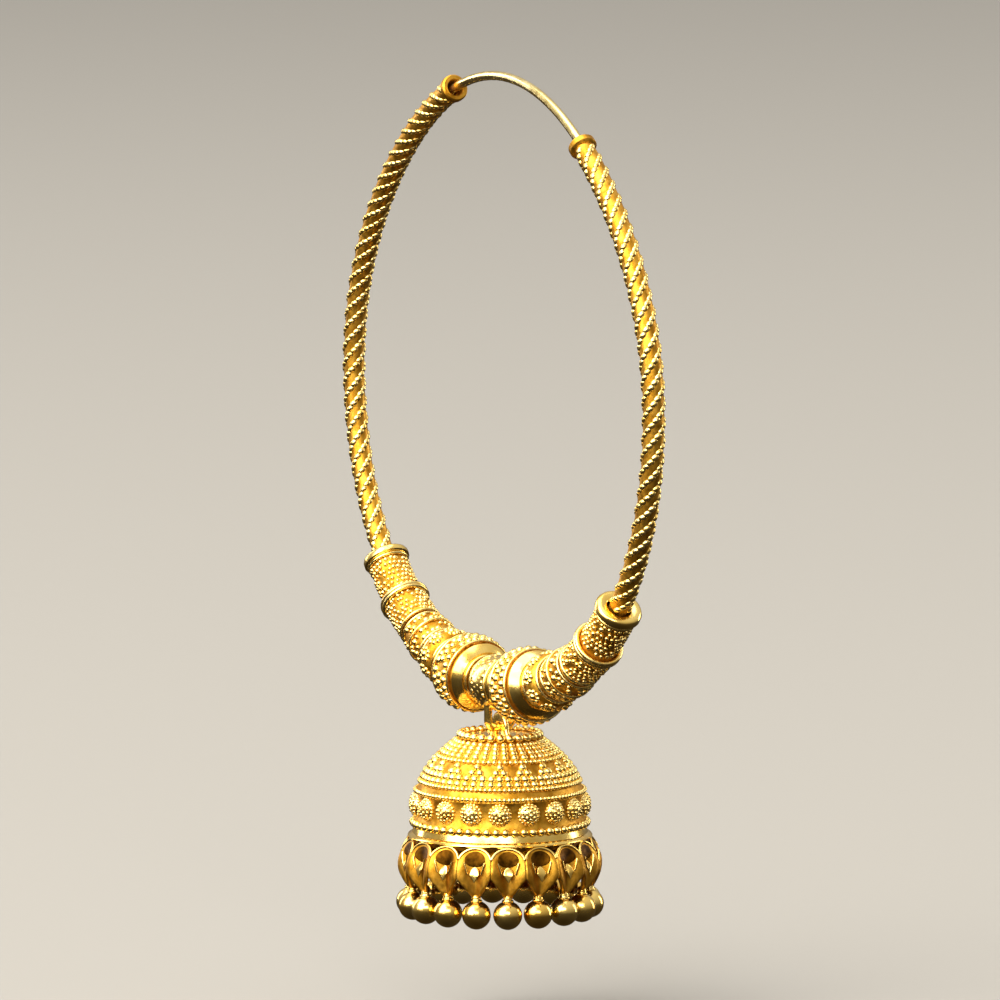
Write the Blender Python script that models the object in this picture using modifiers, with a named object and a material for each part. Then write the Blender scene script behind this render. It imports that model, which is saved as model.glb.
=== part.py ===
# Gold hoop earring with a bell drop.
#
# The origin is the top of the ear wire, where the earring hangs on the ear. +Z is up. The hoop lies in
# the XZ plane, and the bell hangs below it on the Z axis. Angles along the hoop are counted from +X
# through +Z, so the lowest point of the hoop is at -90 degrees.

import math

import bmesh
import bpy
from mathutils import Matrix, Vector

MM = 0.001

# Fits
FIT = 0.30 * MM  # clearance between two pieces
BEAD_GAP = 0.30 * MM  # clearance between neighbours on the hoop
EMBED = 0.20 * MM  # how far a soldered part reaches into its seat

# Hoop
HOOP_RADIUS = 27.0 * MM  # to the centre of the tube
HOOP_TOP_SLIM = 0.028  # share by which the upper shoulders draw in
HOOP_BOTTOM_FLAT = 0.055  # share by which the bottom is flattened
TUBE_RADIUS = 1.05 * MM
TUBE_WALL = 0.35 * MM
TUBE_RIM_RADIUS = 1.20 * MM
TUBE_RIM_LENGTH = 0.70 * MM
TUBE_END_RIGHT = math.radians(57.0)
TUBE_END_LEFT = math.radians(107.5)
TUBE_STEP = math.radians(5.5)
EAR_WIRE_RADIUS = 0.40 * MM
EAR_WIRE_SEAT = 3.0 * MM  # length of the ear wire inside each end of the tube

# Beads on the hoop, counted outwards from the hanger bead
BEAD_END_WALL = 0.55 * MM  # metal round the bore at the ends of every bead
HANGER_LENGTH = 3.95 * MM
HANGER_SWELL = 0.55 * MM  # how far the middle stands out beyond the ends
BALL_RADIUS = 3.50 * MM
COLLAR_LENGTH = 2.20 * MM
COLLAR_SWELL = 0.85 * MM
SMALL_LENGTH = 3.60 * MM
SMALL_SWELL = 0.40 * MM
SLEEVE_LENGTH = 9.00 * MM
SLEEVE_INNER_WALL = 0.70 * MM  # barrel on the side of the bell
SLEEVE_OUTER_WALL = 0.50 * MM  # barrel on the side of the rim
SLEEVE_RING_WALL = 0.90 * MM
SLEEVE_RING_WIDTH = 0.60 * MM
SLEEVE_RING_PLACE = 3.70 * MM  # from the inner end to the middle of the ring
SLEEVE_RIM_WALL = 0.70 * MM
SLEEVE_RIM_WIDTH = 0.80 * MM
SLEEVE_CHAMFER = 0.20 * MM

# Stirrup below the hanger bead, in the YZ plane
STIRRUP_WIRE_RADIUS = 0.36 * MM
STIRRUP_CORNER = 0.60 * MM

# Strap loop on the cap of the bell, in the XZ plane
STRAP_THICKNESS = 0.40 * MM
STRAP_WIDTH = 1.00 * MM
STRAP_FOOT_FLARE = 1.60  # width and thickness of the foot, as a share of the strap's

# Bell, with heights counted down from the flat top of its cap
CAP_RADIUS = 3.00 * MM  # flat inside the cap's granulated ring
CAP_RING_HEIGHT = 0.45 * MM
CAP_RING_WIDTH = 0.75 * MM
CAP_RING_SLOPE = 0.19 * MM  # width of the slope on each side of the ring
CAP_STEP = 0.10 * MM  # from the flat down to where the dome starts, outside the ring
DOME_RADIUS = 7.60 * MM
DOME_DEPTH = 4.90 * MM  # down to the lower edge of the arched part
DOME_BULGE = 0.50 * MM  # how far the arched part stands out of its chord
BELL_WALL = 0.50 * MM
STUD_COUNT = 18
STUD_RADIUS = 1.05 * MM
STUD_THICKNESS = 1.00 * MM
STUD_RISE = 0.60 * MM  # how far a stud stands out of the dome's side
STUD_MARGIN = 0.08 * MM  # above and below the studs
STUD_PHASE = math.radians(-28.5)
STUD_ZONE_INSET = 0.30 * MM  # the side behind the studs lies this far inside the dome
RIM_ROW_RISE = 0.25 * MM  # the row of granules stands this far outside the dome
RIM_ROW_HEIGHT = 0.66 * MM
ROW_SLOPE = 0.20 * MM
BAND_INSET = 0.10 * MM
BAND_HEIGHT = 0.80 * MM
FLANGE_RISE = 0.40 * MM
FLANGE_HEIGHT = 0.50 * MM
SKIRT_INSET = 0.20 * MM
SKIRT_HEIGHT = 1.00 * MM

# Fringe
PETAL_COUNT = 18
PETAL_PHASE = math.radians(-23.6)
PETAL_WALL = 0.35 * MM
PETAL_TOP_INSET = 0.10 * MM  # the arches start this far inside the flange's edge
PETAL_NECK_RISE = 0.05 * MM  # the necks lie this far outside the tops of the arches
PETAL_BELLY = 0.95 * MM  # how far the petals bulge out between top and neck
PETAL_HEIGHT = 4.50 * MM
PETAL_CUSP_DROP = 1.10 * MM  # from the top of an arch down to where two arches meet
PETAL_JOIN = 1.40 * MM  # length over which two petals touch, below the cusp
PETAL_HOLLOW = 0.75 * MM
PETAL_COLUMNS = 6
PETAL_ROWS = 5
DROP_RADIUS = 1.25 * MM
DROP_NECK_RADIUS = 0.40 * MM
DROP_NECK_HEIGHT = 0.55 * MM

# Fineness of the round shapes
TUBE_RESOLUTION = 3  # ten sides
WIRE_RESOLUTION = 2  # eight sides
BEAD_RESOLUTION = 4  # twelve sides
BALL_RESOLUTION = 5  # fourteen sides
BELL_STEPS = 36
DROP_STEPS = 10
DROP_ROWS = 6
STUD_STEPS = 10
STUD_ROWS = 6
SWELL_ROWS = 6  # along a bead that swells
BALL_ROWS = 8
DOME_ROWS = 6
DOME_INSIDE_ROWS = 4
STIRRUP_CORNER_STEP = math.radians(30.0)
STRAP_STEPS = 8  # over the top of the strap loop
EAR_WIRE_STEP = math.radians(4.0)
TABLE_STEP = math.radians(0.25)  # between two lengths in the hoop's table
MERGE_DISTANCE = 0.001 * MM
SEAM_DISTANCE = 0.01 * MM
SMOOTH_ANGLE = math.radians(40.0)

GOLD = (0.830, 0.510, 0.090, 1.0)
PALE_GOLD = (0.780, 0.620, 0.300, 1.0)


def clear_scene():
    for item in list(bpy.data.objects):
        bpy.data.objects.remove(item, do_unlink=True)


def make_collection(name):
    collection = bpy.data.collections.new(name)
    bpy.context.scene.collection.children.link(collection)
    return collection


def make_material(name, colour, roughness):
    material = bpy.data.materials.new(name)
    material.use_nodes = True
    shader = material.node_tree.nodes["Principled BSDF"]
    shader.inputs["Base Color"].default_value = colour
    shader.inputs["Roughness"].default_value = roughness
    shader.inputs["Metallic"].default_value = 1.0
    return material


def make_empty(name, location, parent=None):
    empty = bpy.data.objects.new(name, None)
    earring.objects.link(empty)
    empty.location = location
    empty.parent = parent
    return empty


def hoop_radius_at(angle):
    """Distance of the tube's centre from the hoop's centre."""
    if math.sin(angle) > 0.0:
        return HOOP_RADIUS * (1.0 - HOOP_TOP_SLIM * math.sin(2.0 * angle) ** 2)
    return HOOP_RADIUS * (1.0 - HOOP_BOTTOM_FLAT * math.sin(angle) ** 6)


def hoop_point(angle):
    """Point of the tube's centre line, seen from the hoop's centre."""
    radius = hoop_radius_at(angle)
    return Vector((radius * math.cos(angle), 0.0, radius * math.sin(angle)))


def hoop_length_table():
    """Lengths along the centre line from the lowest point, at every step of the table."""
    angles = [-math.pi / 2.0]
    lengths = [0.0]
    while angles[-1] < math.pi:
        angle = angles[-1] + TABLE_STEP
        lengths.append(lengths[-1] + (hoop_point(angle) - hoop_point(angles[-1])).length)
        angles.append(angle)
    return angles, lengths


def angle_at_length(length):
    """Angle on the hoop at a length along it from its lowest point, positive towards +X."""
    angles, lengths = HOOP_TABLE
    wanted = abs(length)
    index = next(i for i, reached in enumerate(lengths) if reached >= wanted)
    if index == 0:
        return -math.pi / 2.0
    span = lengths[index] - lengths[index - 1]
    share = (wanted - lengths[index - 1]) / span
    angle = angles[index - 1] + share * (angles[index] - angles[index - 1])
    return angle if length >= 0.0 else -math.pi - angle


def curve_object(name, points, radii, resolution):
    """Round bar along the points, as thick at each as its radius says."""
    curve = bpy.data.curves.new(name, "CURVE")
    curve.dimensions = "3D"
    curve.bevel_depth = MM
    curve.bevel_resolution = resolution
    curve.use_fill_caps = True
    spline = curve.splines.new("POLY")
    spline.points.add(len(points) - 1)
    for spot, place, radius in zip(spline.points, points, radii):
        spot.co = (place.x, place.y, place.z, 1.0)
        spot.radius = radius / MM
    return bpy.data.objects.new(name, curve)


def as_solid(source):
    """Replaces a curve or a turned profile by its mesh, with its caps welded on."""
    name = source.name
    bpy.context.scene.collection.objects.link(source)
    graph = bpy.context.evaluated_depsgraph_get()
    mesh = bpy.data.meshes.new_from_object(source.evaluated_get(graph))
    bpy.data.objects.remove(source, do_unlink=True)
    shape = bmesh.new()
    shape.from_mesh(mesh)
    bmesh.ops.remove_doubles(shape, verts=shape.verts, dist=MERGE_DISTANCE)
    shape.to_mesh(mesh)
    shape.free()
    mesh.name = name
    return bpy.data.objects.new(name, mesh)


def turned(name, profile, steps):
    """Body turned round Z from a profile of (radius, height) that runs down its outer side."""
    mesh = bpy.data.meshes.new(name)
    points = [(radius, 0.0, height) for radius, height in profile]
    mesh.from_pydata(points, [(i, i + 1) for i in range(len(points) - 1)], [])
    body = bpy.data.objects.new(name, mesh)
    screw = body.modifiers.new("Turn", "SCREW")
    screw.steps = steps
    screw.render_steps = steps
    screw.use_merge_vertices = True
    screw.merge_threshold = MERGE_DISTANCE
    return as_solid(body)


def ring_of(name, solid, count, phase, radius, height):
    """Copies of a solid in a ring round Z, in one mesh."""
    ring = bmesh.new()
    for i in range(count):
        before = len(ring.verts)
        ring.from_mesh(solid.data)
        ring.verts.ensure_lookup_table()
        turn = Matrix.Rotation(phase + i * 2.0 * math.pi / count, 4, "Z")
        move = turn @ Matrix.Translation((radius, 0.0, height))
        bmesh.ops.transform(ring, matrix=move, verts=ring.verts[before:])
    mesh = bpy.data.meshes.new(name)
    ring.to_mesh(mesh)
    ring.free()
    bpy.data.objects.remove(solid, do_unlink=True)
    return bpy.data.objects.new(name, mesh)


def add_tool(tool, parent):
    """Puts a shape that cuts or joins another in the collection of cutters."""
    cutters.objects.link(tool)
    tool.parent = parent
    tool.hide_render = True
    tool.display_type = "WIRE"


def add_piece(piece, material, parent):
    earring.objects.link(piece)
    piece.parent = parent
    piece.data.materials.clear()
    piece.data.materials.append(material)
    piece.data.shade_smooth()
    piece.data.set_sharp_from_angle(angle=SMOOTH_ANGLE)


def combine(piece, tool, operation, parent):
    add_tool(tool, parent)
    boolean = piece.modifiers.new(tool.name, "BOOLEAN")
    boolean.operation = operation
    boolean.solver = "EXACT"
    boolean.object = tool


def swept_bar(name, start, end, radius, step, resolution):
    """Bar of one radius along the hoop between two angles."""
    count = max(2, math.ceil(abs(end - start) / step))
    angles = [start + (end - start) * i / count for i in range(count + 1)]
    points = [hoop_point(angle) for angle in angles]
    return as_solid(curve_object(name, points, [radius] * len(points), resolution))


def build_tube():
    """Hollow tube from the right side of the ear, round the bottom, to the left side."""
    start = TUBE_END_LEFT - 2.0 * math.pi
    end = TUBE_END_RIGHT
    rim = TUBE_RIM_LENGTH / HOOP_RADIUS
    blend = (TUBE_RIM_RADIUS - TUBE_RADIUS) / HOOP_RADIUS
    count = math.ceil((end - start) / TUBE_STEP)
    inner = [start + (end - start) * i / count for i in range(1, count)]
    angles = [start, start + rim, start + rim + blend, *inner, end - rim - blend, end - rim, end]
    radii = [TUBE_RIM_RADIUS] * 2 + [TUBE_RADIUS] * (len(inner) + 2) + [TUBE_RIM_RADIUS] * 2
    tube = as_solid(curve_object("hoop_tube", [hoop_point(a) for a in angles], radii, TUBE_RESOLUTION))
    over = EAR_WIRE_SEAT / HOOP_RADIUS
    inside = TUBE_RADIUS - TUBE_WALL
    hollow = swept_bar("tube_hollow", start - over, end + over, inside, TUBE_STEP, WIRE_RESOLUTION)
    combine(tube, hollow, "DIFFERENCE", hoop_centre)
    add_piece(tube, gold, hoop_centre)


def build_ear_wire():
    seat = EAR_WIRE_SEAT / HOOP_RADIUS
    start = TUBE_END_RIGHT - seat
    end = TUBE_END_LEFT + seat
    wire = swept_bar("ear_wire", start, end, EAR_WIRE_RADIUS, EAR_WIRE_STEP, WIRE_RESOLUTION)
    add_piece(wire, pale_gold, hoop_centre)


def swelling_profile(length, swell):
    """Rows of (place, radius) for a bead that swells from its ends to its middle."""
    rows = []
    for i in range(SWELL_ROWS + 1):
        share = 2.0 * i / SWELL_ROWS - 1.0
        rows.append((0.5 * length * share, bead_end_radius + swell * math.sqrt(1.0 - share * share)))
    return rows


def ball_profile():
    """Rows of (place, radius) for a ball whose ends are cut flat."""
    reach = math.acos(bead_end_radius / BALL_RADIUS)
    rows = []
    for i in range(BALL_ROWS + 1):
        turn = reach * (2.0 * i / BALL_ROWS - 1.0)
        rows.append((BALL_RADIUS * math.sin(turn), BALL_RADIUS * math.cos(turn)))
    return rows


def sleeve_profile():
    """Rows of (place, radius) for a long sleeve, from its inner end to the rolled rim."""
    half = 0.5 * SLEEVE_LENGTH
    ring = -half + SLEEVE_RING_PLACE
    edge = 0.5 * SLEEVE_RING_WIDTH
    rim = half - SLEEVE_RIM_WIDTH
    inner_radius = bore_radius + SLEEVE_INNER_WALL
    outer_radius = bore_radius + SLEEVE_OUTER_WALL
    ring_radius = bore_radius + SLEEVE_RING_WALL
    rim_radius = bore_radius + SLEEVE_RIM_WALL
    return [
        (-half, inner_radius - SLEEVE_CHAMFER),
        (-half + SLEEVE_CHAMFER, inner_radius),
        (ring - edge, inner_radius),
        (ring - 0.5 * edge, ring_radius),
        (ring + 0.5 * edge, ring_radius),
        (ring + edge, outer_radius),
        (rim, outer_radius),
        (rim + SLEEVE_CHAMFER, rim_radius),
        (half - SLEEVE_CHAMFER, rim_radius),
        (half, rim_radius - SLEEVE_CHAMFER),
    ]


def bead_body(name, middle, profile, side, resolution):
    """Bead along the hoop, its middle at a length from the lowest point; side mirrors its profile."""
    angles = [angle_at_length(side * (middle + place)) for place, radius in profile]
    points = [hoop_point(angle) for angle in angles]
    return as_solid(curve_object(name, points, [radius for place, radius in profile], resolution))


def bore_bead(bead, middle, length, side, parent):
    """Cuts the hole that the hoop's tube passes through."""
    reach = 0.5 * length + BEAD_GAP
    start = angle_at_length(side * (middle - reach))
    end = angle_at_length(side * (middle + reach))
    if side < 0:
        start, end = end, start
    bore = swept_bar(bead.name + "_bore", start, end, bore_radius, TUBE_STEP, TUBE_RESOLUTION)
    combine(bead, bore, "DIFFERENCE", parent)


def build_side_beads():
    """The beads beside the hanger bead, the same on both sides."""
    kinds = [
        ("ball", ball_profile(), BALL_RESOLUTION),
        ("collar_bead", swelling_profile(COLLAR_LENGTH, COLLAR_SWELL), BEAD_RESOLUTION),
        ("small_bead", swelling_profile(SMALL_LENGTH, SMALL_SWELL), BEAD_RESOLUTION),
        ("sleeve", sleeve_profile(), BEAD_RESOLUTION),
    ]
    inner_end = 0.5 * HANGER_LENGTH + BEAD_GAP
    for kind, profile, resolution in kinds:
        length = profile[-1][0] - profile[0][0]
        middle = inner_end + 0.5 * length
        for label, side in (("left", -1), ("right", 1)):
            bead = bead_body(kind + "_" + label, middle, profile, side, resolution)
            bore_bead(bead, middle, length, side, hoop_centre)
            add_piece(bead, gold, hoop_centre)
        inner_end += length + BEAD_GAP


def stirrup_points():
    """Centre line of the stirrup's wire, seen from the hanger's pivot."""
    half_width = 0.5 * STRAP_WIDTH + FIT + STIRRUP_WIRE_RADIUS
    bottom = -hanger_to_pin
    top = -(hanger_radius - 2.0 * STIRRUP_WIRE_RADIUS)
    inner = half_width - STIRRUP_CORNER
    left = [Vector((0.0, -half_width, top))]
    turn = 0.0
    while turn < 0.5 * math.pi + MERGE_DISTANCE:
        y = -inner - STIRRUP_CORNER * math.cos(turn)
        left.append(Vector((0.0, y, bottom + STIRRUP_CORNER * (1.0 - math.sin(turn)))))
        turn += STIRRUP_CORNER_STEP
    right = [Vector((0.0, -point.y, point.z)) for point in reversed(left)]
    return left + right


def build_hanger():
    """Bead between the balls, with the stirrup that holds the bell."""
    profile = swelling_profile(HANGER_LENGTH, HANGER_SWELL)
    bead = bead_body("hanger_bead", 0.0, profile, 1, BEAD_RESOLUTION)
    bead.data.transform(Matrix.Translation((0.0, 0.0, -hoop_bottom)))
    points = stirrup_points()
    wire = curve_object("stirrup", points, [STIRRUP_WIRE_RADIUS] * len(points), WIRE_RESOLUTION)
    combine(bead, as_solid(wire), "UNION", hanger_pivot)
    reach = 0.5 * HANGER_LENGTH + BEAD_GAP
    start = angle_at_length(-reach)
    bore = swept_bar("hanger_bore", start, -math.pi - start, bore_radius, TUBE_STEP, TUBE_RESOLUTION)
    bore.data.transform(Matrix.Translation((0.0, 0.0, -hoop_bottom)))
    combine(bead, bore, "DIFFERENCE", hanger_pivot)
    add_piece(bead, gold, hanger_pivot)


def arc(start, end, bulge, count):
    """Points of a circular arc between two points, bulging to the left of the way from start to end."""
    start = Vector(start)
    end = Vector(end)
    chord = end - start
    half = 0.5 * chord.length
    radius = (half * half + bulge * bulge) / (2.0 * bulge)
    out = Vector((-chord.y, chord.x)).normalized()
    centre = 0.5 * (start + end) - out * (radius - bulge)
    reach = math.asin(half / radius)
    along = chord.normalized()
    points = []
    for i in range(count + 1):
        turn = reach * (2.0 * i / count - 1.0)
        point = centre + along * radius * math.sin(turn) + out * radius * math.cos(turn)
        points.append((point.x, point.y))
    return points


def bell_heights():
    """Heights of the bell's zones, counted from the flat top of the cap."""
    stud_top = -DOME_DEPTH
    row_top = stud_top - 2.0 * (STUD_RADIUS + STUD_MARGIN)
    band_top = row_top - RIM_ROW_HEIGHT
    flange_top = band_top - BAND_HEIGHT
    skirt_top = flange_top - FLANGE_HEIGHT
    return stud_top, row_top, band_top, flange_top, skirt_top


def bell_profile():
    """Outer side of the bell from the axis down, then its inner side back up."""
    stud_top, row_top, band_top, flange_top, skirt_top = bell_heights()
    skirt_end = skirt_top - SKIRT_HEIGHT
    cap_edge = CAP_RADIUS + CAP_RING_WIDTH
    stud_side = DOME_RADIUS - STUD_ZONE_INSET
    row_radius = DOME_RADIUS + RIM_ROW_RISE
    band_radius = DOME_RADIUS - BAND_INSET
    flange_radius = DOME_RADIUS + FLANGE_RISE
    skirt_radius = DOME_RADIUS - SKIRT_INSET
    inner_radius = stud_side - BELL_WALL
    shoulder = cap_edge - BELL_WALL
    ceiling = -CAP_STEP - BELL_WALL
    outer = [
        (0.0, 0.0),
        (CAP_RADIUS, 0.0),
        (CAP_RADIUS + CAP_RING_SLOPE, CAP_RING_HEIGHT),
        (cap_edge - CAP_RING_SLOPE, CAP_RING_HEIGHT),
        *arc((cap_edge, -CAP_STEP), (DOME_RADIUS, stud_top), DOME_BULGE, DOME_ROWS),
        (stud_side, stud_top - ROW_SLOPE),
        (stud_side, row_top),
        (row_radius, row_top - ROW_SLOPE),
        (row_radius, band_top + ROW_SLOPE),
        (band_radius, band_top),
        (band_radius, flange_top),
        (flange_radius, flange_top),
        (flange_radius, skirt_top),
        (skirt_radius, skirt_top),
        (skirt_radius, skirt_end),
        (inner_radius, skirt_end),
    ]
    dome_inside = arc((shoulder, ceiling), (inner_radius, stud_top), DOME_BULGE, DOME_INSIDE_ROWS)
    return outer + dome_inside[::-1] + [(0.0, ceiling)]


def build_petals(top):
    """Scalloped wall of petals, from the height of the arches' tops down to the necks."""
    columns = PETAL_COUNT * PETAL_COLUMNS
    top_radius = DOME_RADIUS + FLANGE_RISE - PETAL_TOP_INSET
    gap_top = top - PETAL_CUSP_DROP - PETAL_JOIN
    sheet = bmesh.new()
    bmesh.ops.create_grid(sheet, x_segments=columns, y_segments=PETAL_ROWS, size=0.5)
    for vert in sheet.verts:
        turn = (vert.co.x + 0.5) * PETAL_COUNT
        across = turn - math.floor(turn)
        side = 1.0 - abs(2.0 * across - 1.0)  # 1 in the middle of a petal, 0 where two petals meet
        down = 0.5 - vert.co.y
        arch = top - PETAL_CUSP_DROP * (1.0 - math.sqrt(side * (2.0 - side)))
        end = gap_top + (top - PETAL_HEIGHT - gap_top) * side
        height = arch + (end - arch) * down
        fall = min(1.0, max(0.0, (top - height) / PETAL_HEIGHT))
        hollow = PETAL_HOLLOW * (0.5 - 0.5 * math.cos(math.pi * side)) * math.sin(math.pi * down)
        radius = top_radius + PETAL_NECK_RISE * fall + PETAL_BELLY * math.sin(math.pi * fall) - hollow
        angle = PETAL_PHASE + (turn - 0.5) * 2.0 * math.pi / PETAL_COUNT
        vert.co = Vector((radius * math.cos(angle), radius * math.sin(angle), height))
    bmesh.ops.remove_doubles(sheet, verts=sheet.verts, dist=SEAM_DISTANCE)
    bmesh.ops.recalc_face_normals(sheet, faces=sheet.faces)
    mesh = bpy.data.meshes.new("petals")
    sheet.to_mesh(mesh)
    sheet.free()
    petals = bpy.data.objects.new("petals", mesh)
    wall = petals.modifiers.new("Wall", "SOLIDIFY")
    wall.thickness = PETAL_WALL
    wall.offset = -1.0
    return as_solid(petals)


def build_drops(height):
    """The ring of balls below the petals, each with its neck."""
    meet = math.asin(DROP_NECK_RADIUS / DROP_RADIUS)
    top = DROP_RADIUS * math.cos(meet) + DROP_NECK_HEIGHT
    profile = [(0.0, top), (DROP_NECK_RADIUS, top)]
    for i in range(DROP_ROWS):
        turn = meet + (math.pi - meet) * i / DROP_ROWS
        profile.append((DROP_RADIUS * math.sin(turn), DROP_RADIUS * math.cos(turn)))
    profile.append((0.0, -DROP_RADIUS))
    drop = turned("drop", profile, DROP_STEPS)
    neck_radius = DOME_RADIUS + FLANGE_RISE - PETAL_TOP_INSET + PETAL_NECK_RISE
    return ring_of("drops", drop, PETAL_COUNT, PETAL_PHASE, neck_radius - 0.5 * PETAL_WALL, height)


def build_studs(height):
    """The ring of large round granules on the side of the dome."""
    ball = bmesh.new()
    bmesh.ops.create_uvsphere(ball, u_segments=STUD_STEPS, v_segments=STUD_ROWS, radius=STUD_RADIUS)
    mesh = bpy.data.meshes.new("stud")
    ball.to_mesh(mesh)
    ball.free()
    flatten = Matrix.Diagonal((1.0, 1.0, 0.5 * STUD_THICKNESS / STUD_RADIUS, 1.0))
    mesh.transform(Matrix.Rotation(math.radians(90.0), 4, "Y") @ flatten)
    stud = bpy.data.objects.new("stud", mesh)
    radius = DOME_RADIUS - STUD_ZONE_INSET + STUD_RISE - 0.5 * STUD_THICKNESS
    return ring_of("studs", stud, STUD_COUNT, STUD_PHASE, radius, height)


def build_strap():
    """Strap loop on the cap, round the stirrup's lower wire, seen from the bell's pivot."""
    middle = STIRRUP_WIRE_RADIUS + FIT + 0.5 * STRAP_THICKNESS
    foot = -pin_to_cap - EMBED
    points = [Vector((-middle, 0.0, foot)), Vector((-middle, 0.0, 0.0))]
    for i in range(1, STRAP_STEPS):
        turn = math.pi * (1.0 - i / STRAP_STEPS)
        points.append(Vector((middle * math.cos(turn), 0.0, middle * math.sin(turn))))
    points.append(Vector((middle, 0.0, 0.0)))
    points.append(Vector((middle, 0.0, foot)))
    radii = [0.5 * STRAP_THICKNESS] * len(points)
    radii[0] = radii[0] * STRAP_FOOT_FLARE
    radii[-1] = radii[0]
    strap = curve_object("strap", points, radii, 1)
    strap.data.extrude = MM * (STRAP_WIDTH - STRAP_THICKNESS) / STRAP_THICKNESS
    return as_solid(strap)


def build_bell():
    """Bell with its strap loop, granules and fringe, soldered into one body."""
    stud_top, row_top, band_top, flange_top, skirt_top = bell_heights()
    bell = turned("bell", bell_profile(), BELL_STEPS)
    petals_top = 0.5 * (flange_top + skirt_top)
    drop_height = petals_top - PETAL_HEIGHT - DROP_RADIUS
    parts = [
        build_studs(0.5 * (stud_top + row_top)),
        build_petals(petals_top),
        build_drops(drop_height),
    ]
    for shape in (bell, *parts):
        shape.data.transform(Matrix.Translation((0.0, 0.0, -pin_to_cap)))
    for part in (*parts, build_strap()):
        combine(bell, part, "UNION", bell_pivot)
    add_piece(bell, gold, bell_pivot)


clear_scene()
earring = make_collection("hoop_earring")
cutters = make_collection("cutters")
gold = make_material("yellow_gold", GOLD, 0.25)
pale_gold = make_material("pale_gold_wire", PALE_GOLD, 0.22)

HOOP_TABLE = hoop_length_table()
hoop_bottom = hoop_point(-math.pi / 2.0).z
bore_radius = TUBE_RADIUS + FIT
bead_end_radius = bore_radius + BEAD_END_WALL
hanger_radius = bead_end_radius + HANGER_SWELL
hanger_to_pin = hanger_radius + FIT + STRAP_THICKNESS + FIT + STIRRUP_WIRE_RADIUS
pin_to_cap = STIRRUP_WIRE_RADIUS + FIT

hoop_centre = make_empty("hoop_centre", (0.0, 0.0, -HOOP_RADIUS))
hanger_pivot = make_empty("hanger_pivot", (0.0, 0.0, hoop_bottom), hoop_centre)
bell_pivot = make_empty("bell_pivot", (0.0, 0.0, -hanger_to_pin), hanger_pivot)

build_tube()
build_ear_wire()
build_side_beads()
build_hanger()
build_bell()
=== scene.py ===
# %% [markdown]
# # A granulated gold hoop earring with a bell drop
# The earring hangs from the lobe by a plain wire that closes a hollow hoop. Hollow beads are threaded on
# the hoop's lowest part, and a stirrup below the middle bead carries a bell with a fringe of petals.
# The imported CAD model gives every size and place, so it is loaded first and never moved.

# %% Load the frame
import math

import bpy
import numpy as np
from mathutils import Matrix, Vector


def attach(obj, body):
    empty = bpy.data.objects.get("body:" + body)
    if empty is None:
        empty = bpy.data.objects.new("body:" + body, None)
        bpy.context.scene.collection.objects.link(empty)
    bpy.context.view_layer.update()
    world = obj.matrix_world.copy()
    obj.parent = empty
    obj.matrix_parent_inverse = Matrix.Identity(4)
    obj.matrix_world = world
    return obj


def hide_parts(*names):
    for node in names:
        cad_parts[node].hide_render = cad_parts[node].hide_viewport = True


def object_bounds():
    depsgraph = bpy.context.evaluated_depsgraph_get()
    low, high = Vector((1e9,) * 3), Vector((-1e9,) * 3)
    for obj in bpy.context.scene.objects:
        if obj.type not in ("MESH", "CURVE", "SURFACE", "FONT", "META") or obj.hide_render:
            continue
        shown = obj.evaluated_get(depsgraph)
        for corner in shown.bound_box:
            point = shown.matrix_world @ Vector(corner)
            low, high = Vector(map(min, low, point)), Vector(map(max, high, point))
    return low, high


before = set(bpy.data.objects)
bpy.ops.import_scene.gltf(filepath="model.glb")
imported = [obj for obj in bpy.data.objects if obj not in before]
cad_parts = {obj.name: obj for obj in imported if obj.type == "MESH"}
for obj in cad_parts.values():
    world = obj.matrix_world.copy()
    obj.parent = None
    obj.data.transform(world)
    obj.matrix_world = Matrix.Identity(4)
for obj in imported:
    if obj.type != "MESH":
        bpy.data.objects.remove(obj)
cad_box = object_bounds()
print("CAD box in mm:", [[round(1000.0 * value, 2) for value in corner] for corner in cad_box])

# %% [markdown]
# ## The line of the hoop
# The hoop isn't a true circle: its shoulders are drawn in a little and its bottom is flattened by the
# beads' weight. One formula gives its radius at every angle, and a table of lengths along it lets each
# piece be made straight, as a goldsmith makes tube and beads, and then be bent round the hoop.

# %% Sizes of the hoop
MM = 0.001
HOOP_RADIUS = 27.0 * MM
HOOP_TOP_SLIM = 0.028
HOOP_BOTTOM_FLAT = 0.055
TUBE_RADIUS = 1.05 * MM
TUBE_WALL = 0.35 * MM
TUBE_RIM_RADIUS = 1.20 * MM
TUBE_RIM_LENGTH = 0.70 * MM
TUBE_END_RIGHT = math.radians(57.0)
TUBE_END_LEFT = math.radians(107.5 - 360.0)
EAR_WIRE_RADIUS = 0.40 * MM
EAR_WIRE_SEAT = 3.0 * MM
LOWEST = -math.pi / 2.0

line_angles = np.radians(np.arange(-450.0, 270.01, 0.25))
rise = np.sin(line_angles)
slim = 1.0 - HOOP_TOP_SLIM * np.sin(2.0 * line_angles) ** 2
flat = 1.0 - HOOP_BOTTOM_FLAT * rise ** 6
line_radii = HOOP_RADIUS * np.where(rise > 0.0, slim, flat)
line_x = line_radii * np.cos(line_angles)
line_z = line_radii * rise - HOOP_RADIUS
line_steps = np.hypot(np.diff(line_x), np.diff(line_z))
line_lengths = np.concatenate(([0.0], np.cumsum(line_steps)))
line_lengths -= np.interp(LOWEST, line_angles, line_lengths)
hoop_bottom = float(np.interp(0.0, line_lengths, line_z))


def length_at(angle):
    """Length along the hoop from its lowest point to an angle, positive towards +X."""
    return float(np.interp(angle, line_angles, line_lengths))


tube_start = length_at(TUBE_END_LEFT)
tube_end = length_at(TUBE_END_RIGHT)
print("tube from", round(tube_start / MM, 1), "to", round(tube_end / MM, 1), "mm")

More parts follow.
